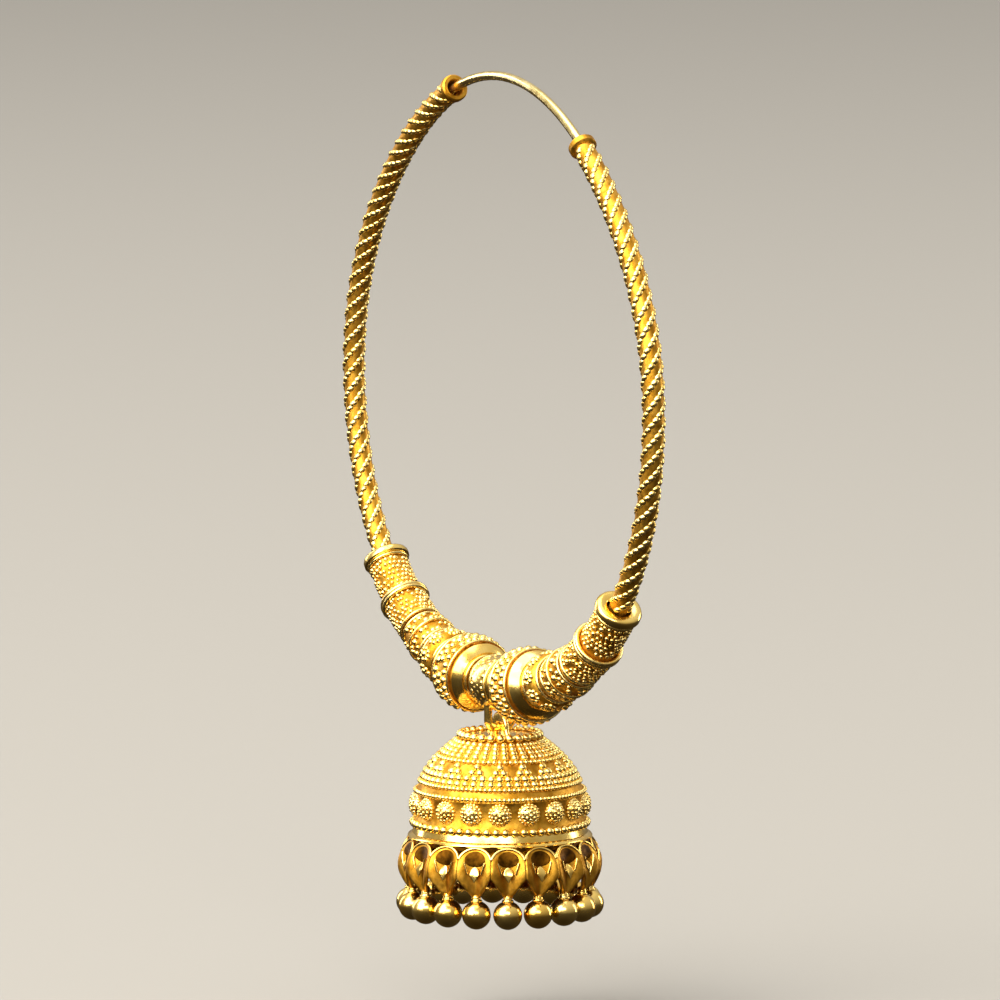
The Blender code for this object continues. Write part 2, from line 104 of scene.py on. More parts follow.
# %% [markdown]
# ## Hands for the work
# The operators act on whatever is selected, and the loaded CAD nodes are all selected. So each step
# starts from nothing selected, and a few small functions hold the moves that every piece needs.

# %% Small helpers
def clear_selection():
    """Leaves edit mode and deselects everything."""
    if bpy.context.object and bpy.context.object.mode != "OBJECT":
        bpy.ops.object.mode_set(mode="OBJECT")
    bpy.ops.object.select_all(action="DESELECT")


def pick(*pieces):
    """Selects only these pieces; the last one is the active one."""
    clear_selection()
    for piece in pieces:
        piece.select_set(True)
        bpy.context.view_layer.objects.active = piece


def points_of(piece):
    """The places of a piece's vertices, one row each."""
    flat_list = np.empty(3 * len(piece.data.vertices))
    piece.data.vertices.foreach_get("co", flat_list)
    return flat_list.reshape(-1, 3)


def move_points(piece, points):
    """Puts a piece's vertices at these places."""
    piece.data.vertices.foreach_set("co", np.asarray(points, dtype=float).ravel())
    piece.data.update()


def bend_onto_hoop(piece):
    """Bends a straight piece, whose X is the length from the hoop's lowest point, round the hoop."""
    along, aside, inward = points_of(piece).T
    tangent_x = np.interp(along, line_lengths, np.gradient(line_x, line_lengths))
    tangent_z = np.interp(along, line_lengths, np.gradient(line_z, line_lengths))
    size = np.hypot(tangent_x, tangent_z)
    x = np.interp(along, line_lengths, line_x) - inward * tangent_z / size
    z = np.interp(along, line_lengths, line_z) + inward * tangent_x / size
    move_points(piece, np.stack((x, aside, z), axis=1))


def linked(name, data):
    """A new object in the scene that holds the data."""
    thing = bpy.data.objects.new(name, data)
    bpy.context.scene.collection.objects.link(thing)
    return thing


def turns(count, phase=0.0):
    """Angles of evenly spaced places round a circle."""
    return [phase + 2.0 * math.pi * i / count for i in range(count)]


def discard(*pieces):
    """Removes seeds that have been copied."""
    for piece in pieces:
        bpy.data.objects.remove(piece, do_unlink=True)


def finish_piece(piece, name, body, nodes):
    """Names a finished piece, lets it ride on its body and stand for its CAD nodes."""
    piece.name = name
    piece.data.name = name
    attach(piece, body)
    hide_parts(*nodes)
    piece.data.calc_loop_triangles()
    print(name, len(piece.data.loop_triangles), "triangles")


# %% [markdown]
# ## Gold, five ways
# All of it is high-carat yellow gold, and the eye tells five finishes apart: burnished gold on smooth
# bands and balls, granules that each catch a point of light, a darker amber gold that is painted shade in
# the recesses between them, a dark brown gold that is painted shade in the petals' hollows and on the
# flange's edge, and the paler drawn wire through the ear.

# %% Colours and nodes
def linear(code):
    """Linear colour of an sRGB hex code."""
    parts = [int(code[i:i + 2], 16) / 255.0 for i in (1, 3, 5)]
    bent = [part / 12.92 if part <= 0.04045 else ((part + 0.055) / 1.055) ** 2.4 for part in parts]
    return (*bent, 1.0)


def add(tree, kind, settings=None, inputs=None):
    """Adds a node; each input is a value, or the socket that feeds it."""
    node = tree.nodes.new(kind)
    for name, value in (settings or {}).items():
        setattr(node, name, value)
    for name, value in (inputs or {}).items():
        if isinstance(value, bpy.types.NodeSocket):
            tree.links.new(value, node.inputs[name])
        else:
            node.inputs[name].default_value = value
    return node


def ramp(tree, factor, stops):
    """Colour ramp from (place, colour) stops, fed by a socket."""
    node = add(tree, "ShaderNodeValToRGB", inputs={"Fac": factor})
    for i, (place, colour) in enumerate(stops):
        stop = node.color_ramp.elements[i] if i < 2 else node.color_ramp.elements.new(place)
        stop.position = place
        stop.color = colour
    return node.outputs["Color"]


# %% [markdown]
# A metal's colour is all in its base colour. Melted, filed and burnished gold is never quite even, so
# each finish has a slow change of tone, a change of roughness, and a fine bump whose size is in mm.

# %% Gold finishes
def gold_finish(name, tones, patch, roughness, grain, grain_height):
    """Metal with two tones in patches, two roughness limits and a bump of a grain size in metres."""
    material = bpy.data.materials.new(name)
    material.use_nodes = True
    tree = material.node_tree
    shader = tree.nodes["Principled BSDF"]
    shader.inputs["Metallic"].default_value = 1.0
    place = add(tree, "ShaderNodeTexCoord").outputs["Object"]
    patches = add(tree, "ShaderNodeTexNoise", inputs={"Vector": place, "Scale": 1.0 / patch, "Detail": 3.0})
    tone = ramp(tree, patches.outputs["Fac"], [(0.36, linear(tones[0])), (0.64, linear(tones[1]))])
    tree.links.new(tone, shader.inputs["Base Color"])
    wear = add(tree, "ShaderNodeTexNoise", inputs={"Vector": place, "Scale": 0.4 / grain, "Detail": 2.0})
    gloss = add(tree, "ShaderNodeMapRange", inputs={
        "Value": wear.outputs["Fac"], "From Min": 0.3, "From Max": 0.7,
        "To Min": roughness[0], "To Max": roughness[1]})
    tree.links.new(gloss.outputs["Result"], shader.inputs["Roughness"])
    fine = add(tree, "ShaderNodeTexNoise", inputs={"Vector": place, "Scale": 1.0 / grain, "Detail": 4.0})
    bump = add(tree, "ShaderNodeBump", inputs={
        "Height": fine.outputs["Fac"], "Strength": 0.5, "Distance": grain_height})
    tree.links.new(bump.outputs["Normal"], shader.inputs["Normal"])
    return material


# Burnished gold: rubbed smooth with a steel tool, so it holds long soft reflections with faint waves.
burnished = gold_finish(
    "burnished_gold", ("#F8CA60", "#FFDE84"), 2.6 * MM, (0.14, 0.26), 0.55 * MM, 0.03 * MM)
# Granulated gold: melted grains soldered on, bright points of light that are a little matt from age.
granulated = gold_finish(
    "granulated_gold", ("#F8D070", "#FDE092"), 1.1 * MM, (0.18, 0.34), 0.16 * MM, 0.012 * MM)
# Recess gold: no cloth reaches between the grains, so the metal there is dull; its darker, redder tone is
# painted shade, standing for the shade that falls in the recesses.
painted_shade_recess = gold_finish(
    "painted_shade_recess_gold", ("#AC771C", "#D8A23A"), 0.9 * MM, (0.36, 0.56), 0.14 * MM, 0.02 * MM)
# Drawn wire: paler alloy that keeps its spring, pulled through a plate and worn bright by the ear.
drawn_wire = gold_finish(
    "drawn_wire_gold", ("#F0D488", "#F8E4A6"), 3.5 * MM, (0.18, 0.30), 0.35 * MM, 0.01 * MM)
# Painted shade gold: a dark brown tone painted into the petals' hollows and onto the flange's edge,
# standing for the shade that falls there.
painted_shade_hollow = gold_finish(
    "painted_shade_hollow_gold", ("#3A2205", "#6A430D"), 0.7 * MM, (0.40, 0.60), 0.16 * MM, 0.02 * MM)
print("finishes:", [m.name for m in (burnished, granulated, painted_shade_recess, drawn_wire, painted_shade_hollow)])


def give(piece, finish):
    """Gives a piece one finish."""
    piece.data.materials.clear()
    piece.data.materials.append(finish)


# %% [markdown]
# ## Turned bodies
# Tube, beads and bell are round, so each is a profile turned about its axis. The profile is drawn point
# by point with extruded vertices, then spun: the same as turning on a lathe, and quicker than stacking
# primitives. Merging the spin's seam closes the body before its normals are set.

# %% Lathe
MERGE_REACH = 0.002 * MM
TURNED_CREASE = math.radians(38.0)
FINE_CREASE = math.radians(50.0)


def close_surface(merge=True):
    """Merges the active piece's doubled points and turns its normals outward."""
    bpy.ops.object.mode_set(mode="EDIT")
    bpy.ops.mesh.select_all(action="SELECT")
    if merge:
        bpy.ops.mesh.remove_doubles(threshold=MERGE_REACH)
    bpy.ops.mesh.normals_make_consistent(inside=False)
    bpy.ops.object.mode_set(mode="OBJECT")


def draw_line(points):
    """A new mesh holding a line through the points, drawn vertex by vertex."""
    clear_selection()
    bpy.ops.mesh.primitive_circle_add(vertices=3, radius=0.01 * MM, location=points[0])
    bpy.ops.object.transform_apply(location=True, rotation=True, scale=True)
    bpy.ops.object.mode_set(mode="EDIT")
    bpy.ops.mesh.select_all(action="SELECT")
    bpy.ops.mesh.merge(type="CENTER")
    for before, after in zip(points, points[1:]):
        step = [b - a for a, b in zip(before, after)]
        bpy.ops.mesh.extrude_vertices_move(TRANSFORM_OT_translate={"value": step})
    return bpy.context.object


def turned(profile, axis, steps, finish):
    """Body turned round X or Z from a closed profile of (place along the axis, radius)."""
    if axis == "X":
        points = [(place, 0.0, radius) for place, radius in profile]
    else:
        points = [(radius, 0.0, place) for place, radius in profile]
    body = draw_line(points)
    bpy.ops.mesh.select_all(action="SELECT")
    direction = (1.0, 0.0, 0.0) if axis == "X" else (0.0, 0.0, 1.0)
    bpy.ops.mesh.spin(steps=steps, angle=2.0 * math.pi, center=(0.0, 0.0, 0.0), axis=direction)
    close_surface()
    bpy.ops.object.shade_smooth_by_angle(angle=TURNED_CREASE)
    give(body, finish)
    return body


# %% [markdown]
# ## Wires and rings
# Fine wire frames every zone of the beads. A wire is a curve with a round bevel, turned into a mesh.
# A ring round a bead is a torus primitive, which needs only its two radii.

# %% Wire and ring
def wire(points, radius, finish, smooth=5, flat=0.0):
    """Wire through the points; flat draws its round section out to both sides."""
    curve = bpy.data.curves.new("wire", "CURVE")
    curve.dimensions = "3D"
    curve.bevel_depth = radius
    curve.bevel_resolution = smooth
    curve.extrude = flat
    curve.use_fill_caps = True
    spline = curve.splines.new("POLY")
    spline.points.add(len(points) - 1)
    for spot, point in zip(spline.points, points):
        spot.co = (*point, 1.0)
    pick(linked("wire", curve))
    bpy.ops.object.convert(target="MESH")
    piece = bpy.context.object
    bpy.ops.object.shade_smooth_by_angle(angle=FINE_CREASE)
    give(piece, finish)
    return piece


def ring(place, radius, thickness, finish, axis="X", steps=56):
    """Round wire ring about the axis, its outermost reach at the radius."""
    clear_selection()
    turn = (0.0, math.pi / 2.0, 0.0) if axis == "X" else (0.0, 0.0, 0.0)
    spot = (place, 0.0, 0.0) if axis == "X" else (0.0, 0.0, place)
    bpy.ops.mesh.primitive_torus_add(
        location=spot, rotation=turn, major_segments=steps, minor_segments=8,
        major_radius=radius - thickness, minor_radius=thickness)
    bpy.ops.object.transform_apply(location=True, rotation=True, scale=True)
    bpy.ops.object.shade_smooth()
    give(bpy.context.object, finish)
    return bpy.context.object


# %% [markdown]
# ## Granules
# A granule is a tiny ball that sits half sunk in its solder. Only its cap shows, so the seed is a ball
# of few faces cut below its middle. It is modelled once and copied to every place, each copy turned so
# that its top points away from the surface, and all the copies of a piece are one mesh.

# %% Seed granule
GRANULE_CUT = -0.30
SEED_CREASE = math.radians(60.0)
clear_selection()
bpy.ops.mesh.primitive_ico_sphere_add(subdivisions=2, radius=1.0)
bpy.ops.object.mode_set(mode="EDIT")
bpy.ops.mesh.select_all(action="SELECT")
bpy.ops.mesh.bisect(
    plane_co=(0.0, 0.0, GRANULE_CUT), plane_no=(0.0, 0.0, 1.0), use_fill=True, clear_inner=True)
bpy.ops.object.mode_set(mode="OBJECT")
granule_seed = bpy.context.object
bpy.ops.object.shade_smooth_by_angle(angle=SEED_CREASE)
print("granule seed:", len(granule_seed.data.polygons), "faces")


def copies(seed, moves, finish):
    """One mesh with a copy of the seed for every 4x4 move."""
    points = points_of(seed)
    faces = [list(face.vertices) for face in seed.data.polygons]
    moves = np.asarray(moves)
    placed = np.einsum("nij,vj->nvi", moves[:, :3, :3], points) + moves[:, None, :3, 3]
    count = len(points)
    all_faces = [[i + k * count for i in face] for k in range(len(moves)) for face in faces]
    mesh = bpy.data.meshes.new("copies")
    mesh.from_pydata(placed.reshape(-1, 3).tolist(), [], all_faces)
    mesh.polygons.foreach_set("use_smooth", [True] * len(all_faces))
    piece = linked("copies", mesh)
    give(piece, finish)
    return piece


def granules(spots, climb=None, stretch=1.0):
    """Granules at (point, outward, radius) spots; on a strand, climb turns and stretch draws out each."""
    moves = []
    for point, outward, radius in spots:
        up = np.asarray(outward, dtype=float)
        up = up / np.linalg.norm(up)
        if climb is None:
            side = np.cross(up, (0.0, 0.0, 1.0) if abs(up[2]) < 0.9 else (0.0, 1.0, 0.0))
        else:
            side = np.cross((1.0, 0.0, 0.0), up) + climb * np.array((1.0, 0.0, 0.0))
        side = side / np.linalg.norm(side)
        move = np.eye(4)
        move[:3, 0] = side * radius * stretch
        move[:3, 1] = np.cross(up, side) * radius
        move[:3, 2] = up * radius
        move[:3, 3] = point
        moves.append(move)
    return copies(granule_seed, moves, granulated)


def round_x(place, radius, turn):
    """(point, outward) on a straight piece: place along X, distance from it, and angle round it."""
    outward = (0.0, math.cos(turn), math.sin(turn))
    return (place, radius * outward[1], radius * outward[2]), outward


def joined(parts):
    """Joins parts into the first one."""
    pick(*parts[1:], parts[0])
    bpy.ops.object.join()
    return bpy.context.object


# %% [markdown]
# ## Ear wire
# The plain wire closes the hoop behind the lobe: soldered in the left end of the tube, and free to
# spring out of the right one. It is turned as a straight rod with rounded ends, in short steps so that
# it bends evenly, and then bent round the hoop.

# %% Ear wire
def straight_rod(start, end, radius, step, finish):
    """Straight rod along X with softly rounded ends."""
    count = max(2, math.ceil((end - start) / step))
    soft = 0.3 * radius
    profile = [(start, 0.0), (start, radius - soft), (start + soft, radius)]
    for i in range(1, count):
        profile.append((start + (end - start) * i / count, radius))
    profile += [(end - soft, radius), (end, radius - soft), (end, 0.0)]
    return turned(profile, "X", 20, finish)


wire_start = length_at(TUBE_END_RIGHT) - EAR_WIRE_SEAT
wire_end = length_at(TUBE_END_LEFT + 2.0 * math.pi) + EAR_WIRE_SEAT
ear_wire = straight_rod(wire_start, wire_end, EAR_WIRE_RADIUS, 1.2 * MM, drawn_wire)
bend_onto_hoop(ear_wire)
finish_piece(ear_wire, "ear_wire_drawn", "hoop", ["ear_wire"])

# %% [markdown]
# ## The tube of the hoop
# The tube is a long sheet rolled and soldered. Its wall is set back, because strands stand on it, and
# between them it is dull and darker, the darker tone being painted shade. Each end is closed by a plain
# rolled rim. The left end holds the ear wire, and the right one is where the wire springs in.

# %% Tube wall with its rims
TUBE_SET_BACK = 0.17 * MM
WALL_STEPS = 96
END_WIRE = 0.20 * MM
wall_radius = TUBE_RADIUS - TUBE_SET_BACK
bore = TUBE_RADIUS - TUBE_WALL


def tube_end_profile(end, side):
    """Profile of one open end: from the blind hollow out over the rolled rim; side is +1 or -1."""
    rows = [
        (3.2 * MM, 0.0), (3.0 * MM, bore), (0.15 * MM, bore), (0.0, bore + 0.1 * MM),
        (0.0, TUBE_RIM_RADIUS - 0.12 * MM), (0.12 * MM, TUBE_RIM_RADIUS),
        (TUBE_RIM_LENGTH - 0.12 * MM, TUBE_RIM_RADIUS), (TUBE_RIM_LENGTH, TUBE_RIM_RADIUS - 0.12 * MM),
        (TUBE_RIM_LENGTH + 0.08 * MM, wall_radius)]
    return [(end + side * depth, radius) for depth, radius in rows]


left_rows = tube_end_profile(tube_start, 1.0)
right_rows = tube_end_profile(tube_end, -1.0)
wall_from = left_rows[-1][0]
wall_to = right_rows[-1][0]
wall_step = (wall_to - wall_from) / WALL_STEPS
between = [(wall_from + wall_step * i, wall_radius) for i in range(1, WALL_STEPS)]
# The wall takes the darker recess gold, which is painted shade between the strands.
tube_wall = turned(left_rows + between + right_rows[::-1], "X", 28, painted_shade_recess)
rims = [ring(place, TUBE_RIM_RADIUS - 0.03 * MM, END_WIRE, burnished)
        for place in (tube_start + END_WIRE, tube_end - END_WIRE)]
print("tube wall of", round(wall_radius / MM, 2), "mm radius, bore", round(bore / MM, 2), "mm")

# %% [markdown]
# Four strands of granules climb round the tube side by side, at a little over 45 degrees. Each granule is
# drawn out along its strand, as the strands look worn to ropes. They stop short of the rims, and there
# are none under the beads, where nobody sees them.

# %% Strands of granules
BEADS_REACH = 23.9 * MM
STRAND_COUNT = 4
STRAND_PITCH = 6.2 * MM
STRAND_GRANULE = 0.29 * MM
STRAND_STRETCH = 1.5
STRAND_SPACING = 0.64 * MM
strand_radius = TUBE_RADIUS - STRAND_GRANULE
turn_per_length = 2.0 * math.pi / STRAND_PITCH
along_step = STRAND_SPACING / math.hypot(1.0, turn_per_length * TUBE_RADIUS)
spots = []
for low, high in ((wall_from, -BEADS_REACH), (BEADS_REACH, wall_to)):
    for strand in range(STRAND_COUNT):
        place = low + 0.5 * STRAND_GRANULE
        while place < high - 0.5 * STRAND_GRANULE:
            turn = 2.0 * math.pi * strand / STRAND_COUNT + turn_per_length * place
            point, outward = round_x(place, strand_radius, turn)
            spots.append((point, outward, STRAND_GRANULE))
            place += along_step
climb = 1.0 / (turn_per_length * TUBE_RADIUS)
strands = granules(spots, climb=climb, stretch=STRAND_STRETCH)
hoop_tube = joined([tube_wall, strands, *rims])
bend_onto_hoop(hoop_tube)
finish_piece(hoop_tube, "hoop_tube_granulated", "hoop", ["hoop_tube"])

# %% [markdown]
# ## The beads
# Each bead is a hollow shell, darker where it is set back by painted shade, with belts of granules between
# fine wires and burnished bands that catch the light as crescents. All are made straight at their place on
# the hoop's length. The left beads mirror the right ones, by the sign of their place.

# %% Sizes of the beads
FIT = 0.30 * MM
BEAD_GAP = 0.30 * MM
BEAD_END_WALL = 0.55 * MM
HANGER_LENGTH = 3.95 * MM
HANGER_SWELL = 0.55 * MM
BALL_RADIUS = 3.50 * MM
COLLAR_LENGTH = 2.20 * MM
COLLAR_SWELL = 0.85 * MM
SMALL_LENGTH = 3.60 * MM
SMALL_SWELL = 0.40 * MM
SLEEVE_LENGTH = 9.00 * MM
SLEEVE_INNER_WALL = 0.70 * MM
SLEEVE_OUTER_WALL = 0.50 * MM
SLEEVE_RING_WALL = 0.90 * MM
SLEEVE_RING_PLACE = 3.70 * MM
SLEEVE_RIM_WALL = 0.70 * MM
SLEEVE_RIM_WIDTH = 0.80 * MM
BORE_STEPS = 4
SWELL_STEPS = 14
bore_radius = TUBE_RADIUS + FIT
bead_end_radius = bore_radius + BEAD_END_WALL
ball_half = math.sqrt(BALL_RADIUS ** 2 - bead_end_radius ** 2)


def shell(middle, side, rows, finish=None):
    """Hollow bead from (place, radius) rows of its outside, with the hoop's bore through it."""
    outside = [(side * (middle + place), radius) for place, radius in rows]
    first, last = outside[0][0], outside[-1][0]
    profile = [(first, bore_radius), *outside, (last, bore_radius)]
    if side < 0:
        profile = profile[::-1]
    start, reach = profile[-1][0], profile[0][0] - profile[-1][0]
    inside = [(start + reach * i / BORE_STEPS, bore_radius) for i in range(1, BORE_STEPS + 1)]
    # Unless given another finish, the shell takes the darker recess gold: painted shade.
    return turned(profile + inside, "X", 56, finish or painted_shade_recess)


def swell_reach(place, length, swell):
    """Outer radius of a swelling bead at a distance from its middle."""
    share = place / (0.5 * length)
    return bead_end_radius + swell * math.sqrt(max(0.0, 1.0 - share * share))


def swelling_rows(length, swell, less):
    """Outside of a bead that swells from its ends to its middle, set back by less."""
    rows = []
    for i in range(SWELL_STEPS + 1):
        place = -0.5 * length * math.cos(math.pi * i / SWELL_STEPS)
        rows.append((place, swell_reach(place, length, swell) - less))
    return rows


HAND_SEED = 7
hand = np.random.default_rng(HAND_SEED)


def belt(middle, side, place, radius, count, size, phase, lift, loose):
    """Belt of granules round a bead; tops reach the radius. Loose sets them unevenly, as by hand."""
    result = []
    for i in range(count):
        slip, swing, growth, lost = hand.uniform(-1.0, 1.0, 4)
        if lost < 0.25 * loose - 1.0:
            continue
        turn = phase + 2.0 * math.pi * (i + 0.35 * loose * swing) / count
        grain = size * (1.0 + 0.35 * loose * (growth - 0.5))
        point, outward = round_x(side * (middle + place + 0.5 * loose * slip * size), radius - grain, turn)
        tilt = (side * lift, outward[1], outward[2])
        result.append((point, tilt, grain))
    return result


def bead_pair(make, middle, name):
    """Makes a bead left and right of the hoop's lowest point, and bends both onto the hoop."""
    for label, side in (("left", -1.0), ("right", 1.0)):
        piece = joined(make(middle, side))
        bend_onto_hoop(piece)
        finish_piece(piece, name + "_granulated_" + label, "hoop", [name + "_" + label])


# %% [markdown]
# ### The two balls
# The largest beads. Three rows of granules run round the middle, staggered like bricks. Two wires frame
# them, then comes a channel, dark by painted shade in the recess gold, and a burnished band on each flank,
# and a wire ring closes the end.

# %% Balls
BALL_GRANULE = 0.40 * MM
BALL_COUNT = 27
BALL_BELT = 0.74 * MM
BALL_SET_BACK = 0.34 * MM
BALL_WIRES = ((1.30 * MM, 0.13 * MM), (2.74 * MM, 0.14 * MM))
BALL_BAND = (1.86 * MM, 2.62 * MM)
BAND_DEPTH = 0.50 * MM


def ball_rows(less, start, end, count):
    """Outside of a ball between two places along the axis, set back a little."""
    rows = []
    for i in range(count + 1):
        place = start + (end - start) * i / count
        rows.append((place, math.sqrt((BALL_RADIUS - less) ** 2 - place ** 2)))
    return rows


def ball(middle, side):
    """Parts of one ball, straight along X."""
    half = ball_half - 0.12 * MM
    core = shell(middle, side, ball_rows(BALL_SET_BACK, -half, half, 26))
    spots = []
    for row, place in enumerate((-BALL_BELT, 0.0, BALL_BELT)):
        reach = math.sqrt(BALL_RADIUS ** 2 - place ** 2)
        phase = (row % 2) * math.pi / BALL_COUNT
        spots += belt(middle, side, place, reach, BALL_COUNT, BALL_GRANULE, phase, place / reach, 0.45)
    parts = [core, granules(spots)]
    for end in (-1.0, 1.0):
        for place, thickness in BALL_WIRES:
            reach = math.sqrt(BALL_RADIUS ** 2 - place ** 2)
            parts.append(ring(side * (middle + end * place), reach - 0.02 * MM, thickness, granulated))
        band_rows = ball_rows(0.0, end * BALL_BAND[0], end * BALL_BAND[1], 7)
        inner = [(spot, radius - BAND_DEPTH) for spot, radius in band_rows[::-1]]
        band = [(side * (middle + spot), radius) for spot, radius in band_rows + inner + band_rows[:1]]
        parts.append(turned(band, "X", 64, burnished))
    return parts


inner_end = 0.5 * HANGER_LENGTH + BEAD_GAP
ball_middle = inner_end + ball_half
bead_pair(ball, ball_middle, "ball")

# %% [markdown]
# ### Collar beads
# A flat bead beside each ball. Rosettes of granules stand round it, each a large granule in a ring of
# small ones, and a wire ring frames each side.

# %% Collar beads
ROSETTES = 9
ROSETTE_GRAINS = 8
ROSETTE_MIDDLE = 0.36 * MM
ROSETTE_GRAIN = 0.24 * MM
COLLAR_SET_BACK = 0.25 * MM
COLLAR_EDGE = 0.98 * MM
inner_end = ball_middle + ball_half + BEAD_GAP
collar_middle = inner_end + 0.5 * COLLAR_LENGTH


def rosette(middle, side, reach, turn):
    """One large granule in a ring of small ones, on a bead's side."""
    point, outward = round_x(side * middle, reach - ROSETTE_MIDDLE, turn)
    result = [(point, outward, ROSETTE_MIDDLE)]
    spread = ROSETTE_MIDDLE + 0.9 * ROSETTE_GRAIN
    for way in turns(ROSETTE_GRAINS):
        aside = spread * math.cos(way)
        around = spread * math.sin(way) / reach
        drop = 0.10 * MM + 0.5 * aside * aside / reach
        point, outward = round_x(side * middle + aside, reach - ROSETTE_GRAIN - drop, turn + around)
        result.append((point, outward, ROSETTE_GRAIN))
    return result


def collar(middle, side):
    """Parts of one collar bead, straight along X."""
    core = shell(middle, side, swelling_rows(COLLAR_LENGTH, COLLAR_SWELL, COLLAR_SET_BACK))
    reach = bead_end_radius + COLLAR_SWELL
    spots = []
    for turn in turns(ROSETTES, 0.5 * math.pi / ROSETTES):
        spots += rosette(middle, side, reach, turn)
    edges = [ring(side * (middle + place), bead_end_radius + 0.30 * MM, 0.16 * MM, granulated)
             for place in (-COLLAR_EDGE, COLLAR_EDGE)]
    return [core, granules(spots), *edges]


bead_pair(collar, collar_middle, "collar_bead")

# %% [markdown]
# ### Small beads
# A barrel with four belts of granules, and wires at its ends and round its middle.

# %% Small beads
SMALL_BELTS = (-1.18 * MM, -0.52 * MM, 0.52 * MM, 1.18 * MM)
SMALL_WIRES = (-1.62 * MM, 0.0, 1.62 * MM)
SMALL_COUNT = 22
SMALL_GRANULE = 0.31 * MM
SMALL_SET_BACK = 0.24 * MM
inner_end += COLLAR_LENGTH + BEAD_GAP
small_middle = inner_end + 0.5 * SMALL_LENGTH


def small_bead(middle, side):
    """Parts of one small bead, straight along X."""
    core = shell(middle, side, swelling_rows(SMALL_LENGTH, SMALL_SWELL, SMALL_SET_BACK))
    spots = []
    rings = []
    for row, place in enumerate(SMALL_BELTS):
        reach = swell_reach(place, SMALL_LENGTH, SMALL_SWELL)
        phase = (row % 2) * math.pi / SMALL_COUNT
        lift = 0.6 * place / SMALL_LENGTH
        spots += belt(middle, side, place, reach, SMALL_COUNT, SMALL_GRANULE, phase, lift, 0.8)
    for place in SMALL_WIRES:
        reach = swell_reach(place, SMALL_LENGTH, SMALL_SWELL)
        rings.append(ring(side * (middle + place), reach, 0.15 * MM, granulated))
    return [core, granules(spots), *rings]


bead_pair(small_bead, small_middle, "small_bead")

# %% [markdown]
# ### Sleeves
# The outermost beads are sleeves with two granulated barrels, a double ring between them, and a rolled
# burnished rim where the bare tube comes out.

# %% Sleeves
SLEEVE_SET_BACK = 0.22 * MM
SLEEVE_GRANULE = 0.23 * MM
inner_end += SMALL_LENGTH + BEAD_GAP
sleeve_middle = inner_end + 0.5 * SLEEVE_LENGTH


def sleeve(middle, side):
    """Parts of one sleeve, straight along X."""
    half = 0.5 * SLEEVE_LENGTH
    mid_ring = -half + SLEEVE_RING_PLACE
    inner_wall = bore_radius + SLEEVE_INNER_WALL
    outer_wall = bore_radius + SLEEVE_OUTER_WALL
    inner_back = inner_wall - SLEEVE_SET_BACK
    outer_back = outer_wall - SLEEVE_SET_BACK
    ring_reach = bore_radius + SLEEVE_RING_WALL
    rim_reach = bore_radius + SLEEVE_RIM_WALL
    rim = half - SLEEVE_RIM_WIDTH
    rows = [
        (-half, inner_wall - 0.25 * MM), (-half + 0.9 * MM, inner_back), (mid_ring - 1.2 * MM, inner_back),
        (mid_ring, inner_back), (mid_ring + 1.2 * MM, outer_back), (rim - 1.2 * MM, outer_back),
        (rim + 0.2 * MM, outer_back), (half - 0.1 * MM, outer_back)]
    spots = []
    for belts, start, step, wall, count in (
            (6, -half + 0.56 * MM, 0.51 * MM, inner_wall, 25),
            (7, mid_ring + 0.70 * MM, 0.53 * MM, outer_wall, 23)):
        for row in range(belts):
            phase = (row % 2) * math.pi / count
            spots += belt(middle, side, start + row * step, wall, count, SLEEVE_GRANULE, phase, 0.0, 0.6)
    parts = [shell(middle, side, rows), granules(spots)]
    for place, reach, thickness in (
            (-half + 0.16 * MM, inner_wall, 0.16 * MM),
            (mid_ring - 0.17 * MM, ring_reach, 0.22 * MM),
            (mid_ring + 0.17 * MM, ring_reach, 0.22 * MM),
            (rim - 0.18 * MM, outer_wall + 0.06 * MM, 0.15 * MM)):
        parts.append(ring(side * (middle + place), reach, thickness, granulated))
    roll = [
        (rim, bore_radius + 0.1 * MM), (rim, rim_reach - 0.18 * MM), (rim + 0.14 * MM, rim_reach),
        (half - 0.3 * MM, rim_reach), (half - 0.1 * MM, rim_reach - 0.1 * MM),
        (half, rim_reach - 0.3 * MM), (half - 0.06 * MM, TUBE_RADIUS + 0.16 * MM),
        (half - 0.14 * MM, TUBE_RADIUS + 0.05 * MM), (half - 0.26 * MM, TUBE_RADIUS + 0.10 * MM)]
    roll = [(side * (middle + place), radius) for place, radius in roll + roll[:1]]
    parts.append(turned(roll, "X", 56, burnished))
    return parts


bead_pair(sleeve, sleeve_middle, "sleeve")

# %% [markdown]
# ## Hanger bead and stirrup
# The middle bead turns on the hoop and carries a stirrup of round wire, whose lower bar the bell's
# strap hooks over. Belts of granules run round the bead between burnished shoulders. The bead and the
# stirrup are soldered, so they are joined.

# %% Hanger bead with its stirrup
STRAP_THICKNESS = 0.40 * MM
STRAP_WIDTH = 1.00 * MM
STIRRUP_WIRE_RADIUS = 0.36 * MM
STIRRUP_CORNER = 0.60 * MM
HANGER_BELT = 0.56 * MM
HANGER_COUNT = 24
HANGER_GRANULE = 0.28 * MM
hanger_radius = bead_end_radius + HANGER_SWELL
hanger_to_pin = hanger_radius + FIT + STRAP_THICKNESS + FIT + STIRRUP_WIRE_RADIUS
pin_height = hoop_bottom - hanger_to_pin

hanger_core = shell(0.0, 1.0, swelling_rows(HANGER_LENGTH, HANGER_SWELL, 0.06 * MM), burnished)
spots = []
for row in range(4):
    place = (row - 1.5) * HANGER_BELT
    phase = (row % 2) * math.pi / HANGER_COUNT
    spots += belt(0.0, 1.0, place, hanger_radius - 0.02 * MM, HANGER_COUNT, HANGER_GRANULE, phase, 0.0, 0.4)
hanger_rings = [ring(place * MM, bead_end_radius + reach * MM, 0.13 * MM, granulated)
                for place, reach in ((-1.84, 0.20), (-1.22, 0.48), (1.22, 0.48), (1.84, 0.20))]
hanger = joined([hanger_core, granules(spots), *hanger_rings])
bend_onto_hoop(hanger)

